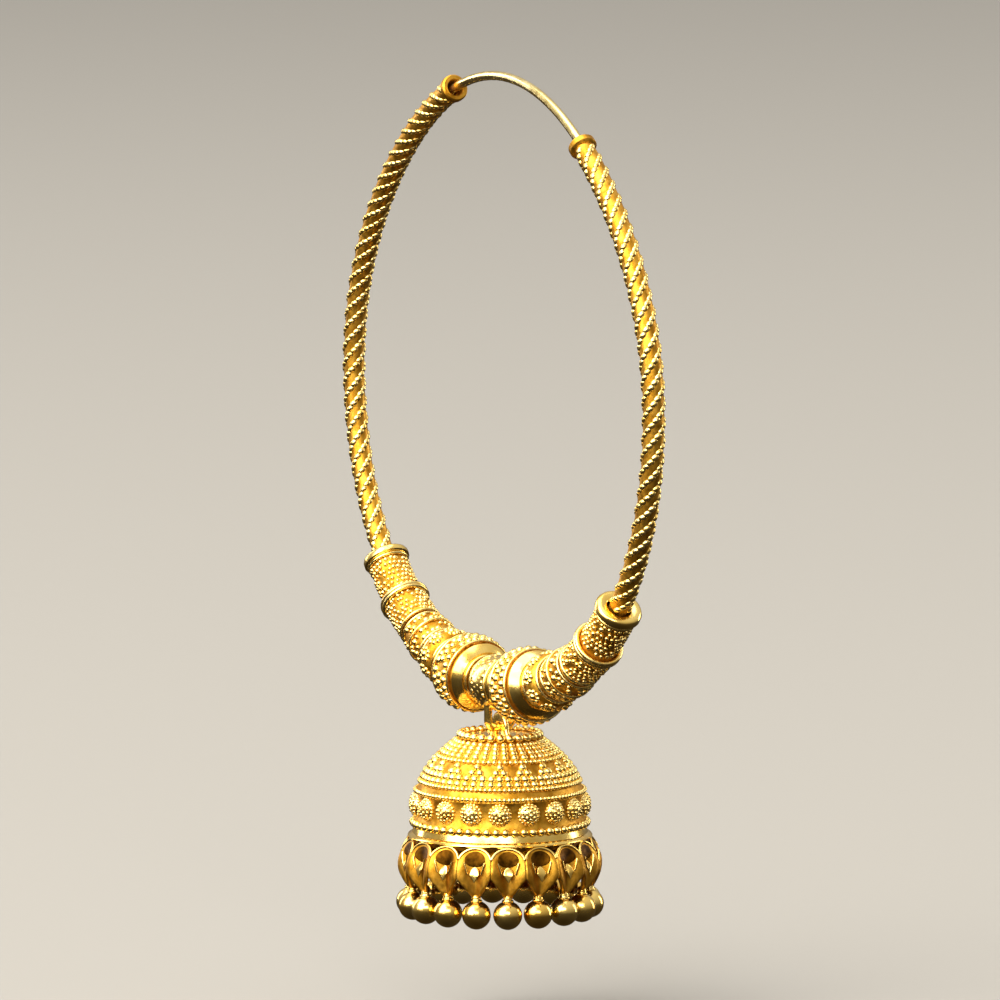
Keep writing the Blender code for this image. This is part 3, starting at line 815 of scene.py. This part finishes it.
half_width = 0.5 * STRAP_WIDTH + FIT + STIRRUP_WIRE_RADIUS
limb_top = hoop_bottom - hanger_radius + 2.0 * STIRRUP_WIRE_RADIUS
inner = half_width - STIRRUP_CORNER
left_limb = [(0.0, -half_width, limb_top)]
for i in range(9):
    turn = math.radians(90.0 * i / 8.0)
    y = -inner - STIRRUP_CORNER * math.cos(turn)
    left_limb.append((0.0, y, pin_height + STIRRUP_CORNER * (1.0 - math.sin(turn))))
stirrup_line = left_limb + [(x, -y, z) for x, y, z in left_limb[::-1]]
stirrup = wire(stirrup_line, STIRRUP_WIRE_RADIUS, burnished)
hanger = joined([hanger, stirrup])
finish_piece(hanger, "hanger_bead_granulated", "hanger", ["hanger_bead"])

# %% [markdown]
# ## The bell
# A hollow shell turned about Z. Its dome is covered in granules, its side carries a ring of large
# domed studs above a corded row, and below comes a plain burnished band on which the petals hang.
# The profile is the CAD's, set back where granules stand on it.

# %% Sizes of the bell
CAP_RADIUS = 3.00 * MM
CAP_RING_HEIGHT = 0.45 * MM
CAP_RING_WIDTH = 0.75 * MM
CAP_STEP = 0.10 * MM
DOME_RADIUS = 7.60 * MM
DOME_DEPTH = 4.90 * MM
DOME_BULGE = 0.50 * MM
BELL_WALL = 0.50 * MM
STUD_COUNT = 18
STUD_RADIUS = 1.05 * MM
STUD_RISE = 0.60 * MM
STUD_MARGIN = 0.08 * MM
STUD_PHASE = math.radians(-28.5)
STUD_ZONE_INSET = 0.30 * MM
RIM_ROW_RISE = 0.25 * MM
RIM_ROW_HEIGHT = 0.66 * MM
BAND_INSET = 0.10 * MM
BAND_HEIGHT = 0.80 * MM
FLANGE_RISE = 0.40 * MM
FLANGE_HEIGHT = 0.50 * MM
SKIRT_INSET = 0.20 * MM
SKIRT_HEIGHT = 1.00 * MM
BELL_STEPS = 96
cap_height = pin_height - STIRRUP_WIRE_RADIUS - FIT
stud_top = cap_height - DOME_DEPTH
row_top = stud_top - 2.0 * (STUD_RADIUS + STUD_MARGIN)
band_top = row_top - RIM_ROW_HEIGHT
flange_top = band_top - BAND_HEIGHT
skirt_top = flange_top - FLANGE_HEIGHT
skirt_end = skirt_top - SKIRT_HEIGHT
cap_edge = CAP_RADIUS + CAP_RING_WIDTH
print("bell cap at", round(cap_height / MM, 2), "skirt end at", round(skirt_end / MM, 2), "mm")


def dome_point(share, less=0.0):
    """(radius, height, outward radius, outward height) on the dome, 0 at the cap and 1 at the studs."""
    chord_r = DOME_RADIUS - cap_edge
    chord_z = stud_top - (cap_height - CAP_STEP)
    chord = math.hypot(chord_r, chord_z)
    half = 0.5 * chord
    bow = (half * half + DOME_BULGE * DOME_BULGE) / (2.0 * DOME_BULGE)
    out_r, out_z = -chord_z / chord, chord_r / chord
    centre_r = cap_edge + 0.5 * chord_r - out_r * (bow - DOME_BULGE)
    centre_z = cap_height - CAP_STEP + 0.5 * chord_z - out_z * (bow - DOME_BULGE)
    turn = math.asin(half / bow) * (2.0 * share - 1.0)
    normal_r = out_r * math.cos(turn) + chord_r / chord * math.sin(turn)
    normal_z = out_z * math.cos(turn) + chord_z / chord * math.sin(turn)
    return centre_r + (bow - less) * normal_r, centre_z + (bow - less) * normal_z, normal_r, normal_z


print("dome from", round(cap_edge / MM, 2), "to", round(DOME_RADIUS / MM, 2), "mm radius")

# %% [markdown]
# The shell could be raised from one disc of sheet over a stake. Its wall behind the granules is set back
# by their height, and the ceiling and the inner side follow at the thickness of the sheet.

# %% Bell shell
SHELL_EDGE = 0.15 * MM
dome_back = 0.30 * MM
stud_side = DOME_RADIUS - STUD_ZONE_INSET
inner_radius = stud_side - BELL_WALL
ceiling = cap_height - CAP_STEP - BELL_WALL
shell_rows = [
    (cap_height, 0.0), (cap_height, CAP_RADIUS - 0.1 * MM), (cap_height - 0.1 * MM, CAP_RADIUS + 0.3 * MM)]
for i in range(13):
    radius, height, normal_r, normal_z = dome_point(i / 12.0, dome_back)
    shell_rows.append((height, radius))
shell_rows += [
    (stud_top - SHELL_EDGE, stud_side), (row_top + 0.1 * MM, stud_side),
    (row_top - 0.1 * MM, DOME_RADIUS - SHELL_EDGE), (band_top, DOME_RADIUS - SHELL_EDGE),
    (band_top - 0.05 * MM, DOME_RADIUS - 0.4 * MM),
    (skirt_end, DOME_RADIUS - SKIRT_INSET), (skirt_end, inner_radius)]
for i in range(9):
    radius, height, normal_r, normal_z = dome_point(1.0 - i / 8.0, BELL_WALL + dome_back)
    shell_rows.append((height, radius))
shell_rows.append((ceiling, 0.0))
# The shell takes the darker recess gold: painted shade behind the granules.
bell_shell = turned(shell_rows, "Z", BELL_STEPS, painted_shade_recess)
print("bell wall", round(BELL_WALL / MM, 2), "mm, inner radius", round(inner_radius / MM, 2), "mm")

# %% [markdown]
# The plain band flares into the flange that carries the petals. The flange's edge lies in the band's
# shadow, and that shade is painted on it in the dark brown gold. The band is burnished, so it is its own
# turned ring, sunk in the shell's side and slightly rounded, because no edge on worn gold is sharp.

# %% Band, flange and cap
def turned_ring(rows, finish):
    """Ring turned round Z from a closed outline of (height, radius) rows."""
    return turned(rows + rows[:1], "Z", BELL_STEPS, finish)


band_radius = DOME_RADIUS - BAND_INSET
flange_radius = DOME_RADIUS + FLANGE_RISE
sunk_radius = band_radius - 0.5 * MM
flange_side = flange_radius - 0.12 * MM
flange_edge = flange_top - 0.16 * MM
band = turned_ring([
    (band_top, sunk_radius), (band_top, band_radius - 0.06 * MM),
    (band_top - 0.2 * MM, band_radius), (flange_top + 0.2 * MM, band_radius + 0.1 * MM),
    (flange_top + 0.06 * MM, flange_radius - 0.08 * MM), (flange_top - 0.08 * MM, flange_radius),
    (flange_edge, flange_radius - 0.06 * MM), (flange_edge, sunk_radius)], burnished)
# The flange's dark brown gold is painted shade, from the band above it.
flange = turned_ring([
    (flange_top - 0.1 * MM, sunk_radius), (flange_top - 0.1 * MM, flange_side),
    (skirt_top, flange_side), (skirt_top, sunk_radius)], painted_shade_hollow)
cap_disc = turned_ring([
    (cap_height + 0.02 * MM, 0.0), (cap_height + 0.02 * MM, CAP_RADIUS - 0.2 * MM),
    (cap_height - 0.2 * MM, CAP_RADIUS - 0.1 * MM), (cap_height - 0.2 * MM, 0.0)], burnished)
bell_parts = [bell_shell, band, flange, cap_disc]
print("flange", round(2.0 * flange_radius / MM, 1), "mm across")

# %% [markdown]
# ### Granules on the bell
# From the cap down: a ring of large granules, short columns two to a stud, a corded row, a pyramid of
# granules above every stud, three more corded rows, and the row that frames the band.

# %% Rows and pyramids
def round_z(radius, height, turn):
    """Place at a distance from the bell's axis, a height and an angle."""
    return (radius * math.cos(turn), radius * math.sin(turn), height)


def dome_spot(share, turn, size, lift=0.0):
    """A granule on the dome, its top at the CAD's surface."""
    radius, height, normal_r, normal_z = dome_point(share, size - lift)
    outward = (normal_r * math.cos(turn), normal_r * math.sin(turn), normal_z)
    return round_z(radius, height, turn), outward, size


CAP_COUNT = 26
CAP_GRANULE = 0.42 * MM
RIM_COUNT = 58
RIM_GRANULE = 0.37 * MM
DOME_ROWS = ((0.375, 72, 0.24), (0.735, 54, 0.36), (0.815, 104, 0.22), (0.960, 112, 0.22))
PYRAMID_ROWS = ((0.455, 1), (0.550, 2), (0.645, 3))
PYRAMID_STEP = 0.325
COLUMN_GRANULES = 4
COLUMN_START = 0.045
COLUMN_STEP = 0.080
unit = 2.0 * math.pi / STUD_COUNT
spots = []
for turn in turns(CAP_COUNT):
    spot = round_z(CAP_RADIUS + 0.5 * CAP_RING_WIDTH, cap_height + CAP_RING_HEIGHT - CAP_GRANULE, turn)
    spots.append((spot, (0.4 * math.cos(turn), 0.4 * math.sin(turn), 1.0), CAP_GRANULE))
for i in range(2 * STUD_COUNT):
    turn = STUD_PHASE + unit * (0.5 * i + 0.25)
    for row in range(COLUMN_GRANULES):
        share = COLUMN_START + COLUMN_STEP * row
        spots.append(dome_spot(share, turn, (0.29 + 0.015 * row) * MM))
for share, count, size in DOME_ROWS:
    spots += [dome_spot(share, turn, size * MM) for turn in turns(count, STUD_PHASE)]
for i in range(STUD_COUNT):
    for row, (share, wide) in enumerate(PYRAMID_ROWS):
        for k in range(wide):
            turn = STUD_PHASE + unit * (i + (k - 0.5 * (wide - 1)) * PYRAMID_STEP)
            spots.append(dome_spot(share, turn, (0.37 + 0.01 * row) * MM, 0.04 * MM))
for turn in turns(RIM_COUNT):
    outward = (math.cos(turn), math.sin(turn), 0.2)
    spot = round_z(DOME_RADIUS + RIM_ROW_RISE - 0.36 * MM, row_top - 0.40 * MM, turn)
    spots.append((spot, outward, RIM_GRANULE))
bell_parts.append(granules(spots))
print("granules on the bell:", len(spots))

# %% [markdown]
# ### Studs
# Eighteen domed studs as large as a lentil's tip, each strewn with fine granules. One stud is a ball
# flattened and cut, its granules lie in rings round its top, and both are copied in a ring.

# %% Studs
STUD_SQUASH = 0.92
STUD_GRANULE = 0.17 * MM
STUD_RINGS = ((1, 0.0), (6, 24.0), (12, 47.0), (18, 72.0))
stud_dome = 0.93 * STUD_RADIUS
clear_selection()
bpy.ops.mesh.primitive_uv_sphere_add(segments=24, ring_count=14, radius=stud_dome)
bpy.ops.object.mode_set(mode="EDIT")
bpy.ops.mesh.select_all(action="SELECT")
bpy.ops.transform.resize(value=(1.0, 1.0, STUD_SQUASH))
bpy.ops.mesh.bisect(
    plane_co=(0.0, 0.0, -0.1 * MM), plane_no=(0.0, 0.0, 1.0), use_fill=True, clear_inner=True)
bpy.ops.object.mode_set(mode="OBJECT")
stud = bpy.context.object


def spun(count, phase=0.0, seat=np.eye(4)):
    """Moves that put a seed in its seat and turn it round the bell's axis."""
    moves = []
    for turn in turns(count, phase):
        move = np.eye(4)
        move[:2, :2] = ((math.cos(turn), -math.sin(turn)), (math.sin(turn), math.cos(turn)))
        moves.append(move @ seat)
    return moves


stud_spots = []
for count, lean in STUD_RINGS:
    for turn in turns(count, math.pi / count):
        reach, top = math.sin(math.radians(lean)), math.cos(math.radians(lean))
        out = (reach * math.cos(turn), reach * math.sin(turn), top)
        spot = [(stud_dome - 0.06 * MM) * value for value in out]
        spot[2] *= STUD_SQUASH
        stud_spots.append((spot, out, STUD_GRANULE))
stud_granules = granules(stud_spots)
stud_base = stud_side + STUD_RISE - STUD_SQUASH * stud_dome
stud_height = 0.5 * (stud_top + row_top)
# In its seat the seed's top, +Z, points along +X, away from the axis.
stud_seat = np.array((
    (0.0, 0.0, 1.0, stud_base), (1.0, 0.0, 0.0, 0.0), (0.0, 1.0, 0.0, stud_height), (0.0, 0.0, 0.0, 1.0)))
stud_moves = spun(STUD_COUNT, STUD_PHASE, stud_seat)
bell_parts += [copies(stud, stud_moves, granulated), copies(stud_granules, stud_moves, granulated)]
discard(stud, stud_granules)
print(STUD_COUNT, "studs with", len(stud_spots), "granules each")

# %% [markdown]
# ### Strap
# A flat strap stands on the cap and loops over the stirrup's bar. It is a bevelled curve with a flat
# section, and its legs spread at the feet, where it is soldered down.

# %% Strap loop
strap_radius = STIRRUP_WIRE_RADIUS + FIT + 0.5 * STRAP_THICKNESS
strap_line = [
    (-1.35 * strap_radius, 0.0, cap_height - 0.1 * MM),
    (-1.05 * strap_radius, 0.0, cap_height + 0.3 * MM)]
for i in range(17):
    turn = math.pi * (1.0 - i / 16.0)
    strap_line.append((strap_radius * math.cos(turn), 0.0, pin_height + strap_radius * math.sin(turn)))
strap_line += [(-x, y, z) for x, y, z in strap_line[1::-1]]
strap_side = 0.5 * (STRAP_WIDTH - STRAP_THICKNESS)
strap = wire(strap_line, 0.5 * STRAP_THICKNESS, burnished, smooth=4, flat=strap_side)
print("strap loop", round(2.0 * strap_radius / MM, 2), "mm wide")
bell_parts.append(strap)
bell = joined(bell_parts)
finish_piece(bell, "bell_granulated", "drop", ["bell"])

# %% [markdown]
# ## The fringe
# Eighteen petals hang side by side from the flange. Each is a small scoop of sheet: an arch on top, a
# hollow in the middle, and a point below where its ball is soldered on. One petal is shaped from a
# grid, given its thickness, and copied in a ring.

# %% Sizes of the fringe
PETAL_COUNT = 18
PETAL_PHASE = math.radians(-23.6)
PETAL_WALL = 0.35 * MM
PETAL_TOP_INSET = 0.10 * MM
PETAL_NECK_RISE = 0.05 * MM
PETAL_BELLY = 0.95 * MM
PETAL_HEIGHT = 4.50 * MM
PETAL_CUSP_DROP = 1.10 * MM
PETAL_JOIN = 1.40 * MM
PETAL_HOLLOW = 0.75 * MM
DROP_RADIUS = 1.25 * MM
DROP_NECK_RADIUS = 0.40 * MM
DROP_NECK_HEIGHT = 0.55 * MM
petals_top = 0.5 * (flange_top + skirt_top)
petal_radius = flange_radius - PETAL_TOP_INSET
petal_pitch = 2.0 * math.pi / PETAL_COUNT
print(PETAL_COUNT, "petals, each", round(petal_pitch * petal_radius / MM, 2), "mm wide")


def petal_edges(across):
    """Nearness to the petal's middle line, 0 to 1, and the heights of its arch and its lower edge."""
    side = 1.0 - abs(2.0 * across - 1.0)
    gap_top = petals_top - PETAL_CUSP_DROP - PETAL_JOIN
    arch = petals_top - PETAL_CUSP_DROP * (1.0 - math.sqrt(side * (2.0 - side)))
    end = gap_top + (petals_top - PETAL_HEIGHT - gap_top) * side
    return side, arch, end


def petal_point(across, down, lift=0.0):
    """Point of the petal sheet: across 0 to 1 between its cusps, down 0 at the arch and 1 at the end."""
    side, arch, end = petal_edges(across)
    height = arch + (end - arch) * down
    fall = min(1.0, max(0.0, (petals_top - height) / PETAL_HEIGHT))
    hollow = PETAL_HOLLOW * (0.5 - 0.5 * math.cos(math.pi * side)) * math.sin(math.pi * down)
    radius = petal_radius + PETAL_NECK_RISE * fall + PETAL_BELLY * math.sin(math.pi * fall) - hollow + lift
    angle = PETAL_PHASE + (across - 0.5) * petal_pitch
    return (radius * math.cos(angle), radius * math.sin(angle), height)


# %% One petal
clear_selection()
bpy.ops.mesh.primitive_grid_add(x_subdivisions=20, y_subdivisions=14, size=1.0)
petal = bpy.context.object
grid = points_of(petal)
move_points(petal, [petal_point(x + 0.5, 0.5 - y) for x, y, z in grid])
close_surface()
outward = np.array((math.cos(PETAL_PHASE), math.sin(PETAL_PHASE), 0.0))
facing = sum(np.dot(np.array(face.normal), outward) * face.area for face in petal.data.polygons)
if facing < 0.0:
    bpy.ops.object.mode_set(mode="EDIT")
    bpy.ops.mesh.select_all(action="SELECT")
    bpy.ops.mesh.flip_normals()
    bpy.ops.object.mode_set(mode="OBJECT")
wall = petal.modifiers.new("Wall", "SOLIDIFY")
wall.thickness = PETAL_WALL
wall.offset = -1.0
bpy.ops.object.modifier_apply(modifier=wall.name)
bpy.ops.object.shade_smooth_by_angle(angle=FINE_CREASE)
# The petals take the darker recess gold: painted shade on the sheet.
petals = copies(petal, spun(PETAL_COUNT), painted_shade_recess)
print("one petal:", len(petal.data.polygons), "faces")
discard(petal)

# %% [markdown]
# Bright wire runs over each arch from cusp to cusp. Under it a thin dark lens lies in the petal's hollow as
# painted shade, and below that lies a burnished tear, round above and pointed below, between two short ribs
# that catch the light. All of them follow the sheet, by one function that finds its point under the arch.

# %% Wire, hollow, tear and ribs of a petal
EDGE_WIRE = 0.14 * MM
RIB_WIRE = 0.10 * MM
TEAR_LIFT = 0.10 * MM
TEAR_LEAN = 0.28


def petal_spot(aside, below, lift):
    """Point of the petal sheet this far from its middle line and below the top of its arch."""
    across = 0.5 + aside / (petal_pitch * (petal_radius + 0.7 * PETAL_BELLY))
    side, arch, end = petal_edges(across)
    down = (arch - petals_top + below) / (arch - end)
    return petal_point(across, min(1.0, max(0.0, down)), lift)


def pillow(centre, half_wide, half_tall, thick, pointed, finish):
    """Flattened ball laid on the petal; pointed draws its lower half to a tip that leans outward."""
    clear_selection()
    bpy.ops.mesh.primitive_uv_sphere_add(segments=20, ring_count=14, radius=1.0)
    piece = bpy.context.object
    points = []
    for x, y, z in points_of(piece):
        narrow = math.sqrt((1.0 + z) / (1.0 - z)) if pointed and -0.999 < z < 0.0 else 1.0
        lift = thick * narrow * y
        if pointed:
            lift += TEAR_LIFT + TEAR_LEAN * half_tall * (1.0 - z)
        points.append(petal_spot(half_wide * narrow * x, centre - half_tall * z, lift))
    move_points(piece, points)
    close_surface(merge=False)
    bpy.ops.object.shade_smooth()
    give(piece, finish)
    return piece


arch_line = [petal_point(0.5 - 0.49 * math.cos(math.pi * i / 24.0), 0.0, -0.04 * MM) for i in range(25)]
# The second seed is the dark lens: painted shade laid in the petal's hollow.
seeds = [
    wire(arch_line, EDGE_WIRE, burnished, smooth=2),
    pillow(0.90 * MM, 0.96 * MM, 0.68 * MM, 0.05 * MM, False, painted_shade_hollow),
    pillow(2.20 * MM, 0.42 * MM, 0.66 * MM, 0.13 * MM, True, burnished)]
for way in (-1.0, 1.0):
    rib = [petal_spot(way * (0.92 - 0.30 * i / 6.0) * MM, (1.15 + 1.0 * i / 6.0) * MM, RIB_WIRE)
           for i in range(7)]
    seeds.append(wire(rib, RIB_WIRE, burnished, smooth=2))
petal_details = [copies(seed, spun(PETAL_COUNT), seed.data.materials[0]) for seed in seeds]
discard(*seeds)
print(len(petal_details), "details on each petal")

# %% [markdown]
# Below every petal hangs a ball, soldered to the petal's point by a short neck with a fine collar.

# %% Balls of the fringe
drop_height = petals_top - PETAL_HEIGHT - DROP_RADIUS
drop_ring = petal_radius + PETAL_NECK_RISE - 0.5 * PETAL_WALL
meet = math.asin(DROP_NECK_RADIUS / DROP_RADIUS)
neck_top = DROP_RADIUS * math.cos(meet) + DROP_NECK_HEIGHT
drop_rows = [(neck_top, 0.0), (neck_top, 0.9 * DROP_NECK_RADIUS), (neck_top - 0.25 * MM, DROP_NECK_RADIUS)]
for i in range(15):
    turn = meet + (math.pi - meet) * i / 14.0
    drop_rows.append((DROP_RADIUS * math.cos(turn), DROP_RADIUS * math.sin(turn)))
drop_rows[-1] = (-DROP_RADIUS, 0.0)
drop = turned(drop_rows, "Z", 24, burnished)
collar_height = DROP_RADIUS * math.cos(meet) + 0.05 * MM
collar_ring = ring(collar_height, DROP_NECK_RADIUS + 0.12 * MM, 0.11 * MM, granulated, "Z", 20)
drop = joined([drop, collar_ring])
shift = np.array((drop_ring * math.cos(PETAL_PHASE), drop_ring * math.sin(PETAL_PHASE), drop_height))
move_points(drop, points_of(drop) + shift)
drops = copies(drop, spun(PETAL_COUNT), burnished)
discard(drop, granule_seed)

fringe = joined([petals, drops, *petal_details])
finish_piece(fringe, "bell_fringe", "drop", ["bell"])

# %% [markdown]
# ## The studio
# A pale floor lies below the earring, which hangs free. Gold shows only what it reflects, so large soft
# lamps stand above and to the left, with dimmer surroundings that keep the recesses deep.

# %% Floor
FLOOR_GAP = 9.0 * MM
FLOOR_RADIUS = 4.0
floor_height = cad_box[0][2] - FLOOR_GAP
clear_selection()
bpy.ops.mesh.primitive_circle_add(
    vertices=96, radius=FLOOR_RADIUS, fill_type="NGON", location=(0.0, 0.0, floor_height))
floor = bpy.context.object
floor.name = "floor"
paper = bpy.data.materials.new("matt_pale_paper")
paper.use_nodes = True
paper_shader = paper.node_tree.nodes["Principled BSDF"]
paper_shader.inputs["Base Color"].default_value = linear("#8E8B86")
paper_shader.inputs["Roughness"].default_value = 0.85
give(floor, paper)
floor.visible_glossy = False
print("floor at", round(floor_height / MM, 1), "mm")

# %% [markdown]
# Daylight from a high window: the surroundings are pale above and dark below the horizon, which gives
# gold its dark lower edges. The camera itself sees an even pale wall.

# %% Surroundings
world = bpy.data.worlds.new("studio")
bpy.context.scene.world = world
bpy.context.scene.view_settings.view_transform = "Standard"
world.use_nodes = True
tree = world.node_tree
background = tree.nodes["Background"]
direction = add(tree, "ShaderNodeTexCoord").outputs["Generated"]
height = add(tree, "ShaderNodeSeparateXYZ", inputs={"Vector": direction}).outputs["Z"]
spread = add(tree, "ShaderNodeMapRange", inputs={"Value": height, "From Min": -1.0, "From Max": 1.0})
level = spread.outputs["Result"]
walls = ramp(tree, level, [
    (0.0, linear("#2E2820")), (0.42, linear("#4A443A")), (0.52, linear("#8E887C")),
    (0.75, linear("#C9C4BA")), (1.0, linear("#F2EEE6"))])
seen = add(tree, "ShaderNodeLightPath").outputs["Is Camera Ray"]
colour = add(tree, "ShaderNodeMix", {"data_type": "RGBA"})
entries = {entry.identifier: entry for entry in colour.inputs}
results = {result.identifier: result for result in colour.outputs}
tree.links.new(seen, entries["Factor_Float"])
tree.links.new(walls, entries["A_Color"])
entries["B_Color"].default_value = linear("#DAD7D1")
tree.links.new(results["Result_Color"], background.inputs["Color"])
print("surroundings:", len(tree.nodes), "nodes")

# %% [markdown]
# ## Lamps and camera
# A lamp's or camera's place is its azimuth, elevation and distance from the middle of the earring.

# %% Lamps
CAMERA_AZIMUTH = 61.5
CAMERA_ELEVATION = 6.4
CAMERA_DISTANCE = 0.90
target = np.array((0.0, 0.0, -36.6 * MM))


def stand(azimuth, elevation, distance):
    """Place at an azimuth and elevation in degrees round the earring."""
    turn, up = math.radians(azimuth), math.radians(elevation)
    away = (math.sin(turn) * math.cos(up), -math.cos(turn) * math.cos(up), math.sin(up))
    return target + distance * np.array(away)


def aim(thing, place):
    """Puts a lamp or camera at a place, looking at the earring."""
    thing.location = place
    back = place - target
    level = math.hypot(back[0], back[1])
    thing.rotation_euler = (math.atan2(level, back[2]), 0.0, math.atan2(back[0], -back[1]))


def lamp(name, azimuth, elevation, distance, wide, tall, power, tint):
    """Soft oblong lamp of a width, height and power, aimed at the earring."""
    data = bpy.data.lights.new(name, "AREA")
    data.shape = "RECTANGLE"
    data.size = wide
    data.size_y = tall
    data.energy = power
    data.color = linear(tint)[:3]
    aim(linked(name, data), stand(azimuth, elevation, distance))


lamp("key_lamp", CAMERA_AZIMUTH - 52.0, 32.0, 1.5, 1.3, 1.3, 40.0, "#FFFAF0")
lamp("top_lamp", CAMERA_AZIMUTH - 100.0, 80.0, 1.4, 1.2, 1.2, 14.0, "#FFFBF4")
lamp("front_lamp", CAMERA_AZIMUTH - 4.0, 27.0, 1.5, 1.0, 0.45, 12.0, "#FFFDF8")
lamp("right_rim_lamp", CAMERA_AZIMUTH + 115.0, 12.0, 1.5, 0.3, 1.0, 6.0, "#FFFDF8")
lamp("left_rim_lamp", CAMERA_AZIMUTH - 130.0, 18.0, 1.5, 0.3, 1.0, 6.0, "#FFFDF8")
sun_data = bpy.data.lights.new("sky_lamp", "SUN")
sun_data.energy = 0.8
sun_data.angle = math.radians(25.0)
aim(linked("sky_lamp", sun_data), stand(CAMERA_AZIMUTH - 60.0, 58.0, 0.60))
print("key lamp", CAMERA_AZIMUTH - 52.0, "degrees round")

# %% [markdown]
# The camera looks from well round the hoop's side and a little from above, through a long lens.

# %% Camera
LENS = 376.0
camera_data = bpy.data.cameras.new("camera")
camera_data.sensor_width = 36.0
camera_data.lens = LENS
camera = linked("camera", camera_data)
aim(camera, stand(CAMERA_AZIMUTH, CAMERA_ELEVATION, CAMERA_DISTANCE))
bpy.context.scene.camera = camera
print("camera", CAMERA_AZIMUTH, "degrees round,", CAMERA_ELEVATION, "up,", LENS, "mm lens")

# %% [markdown]

# %% Close
clear_selection()
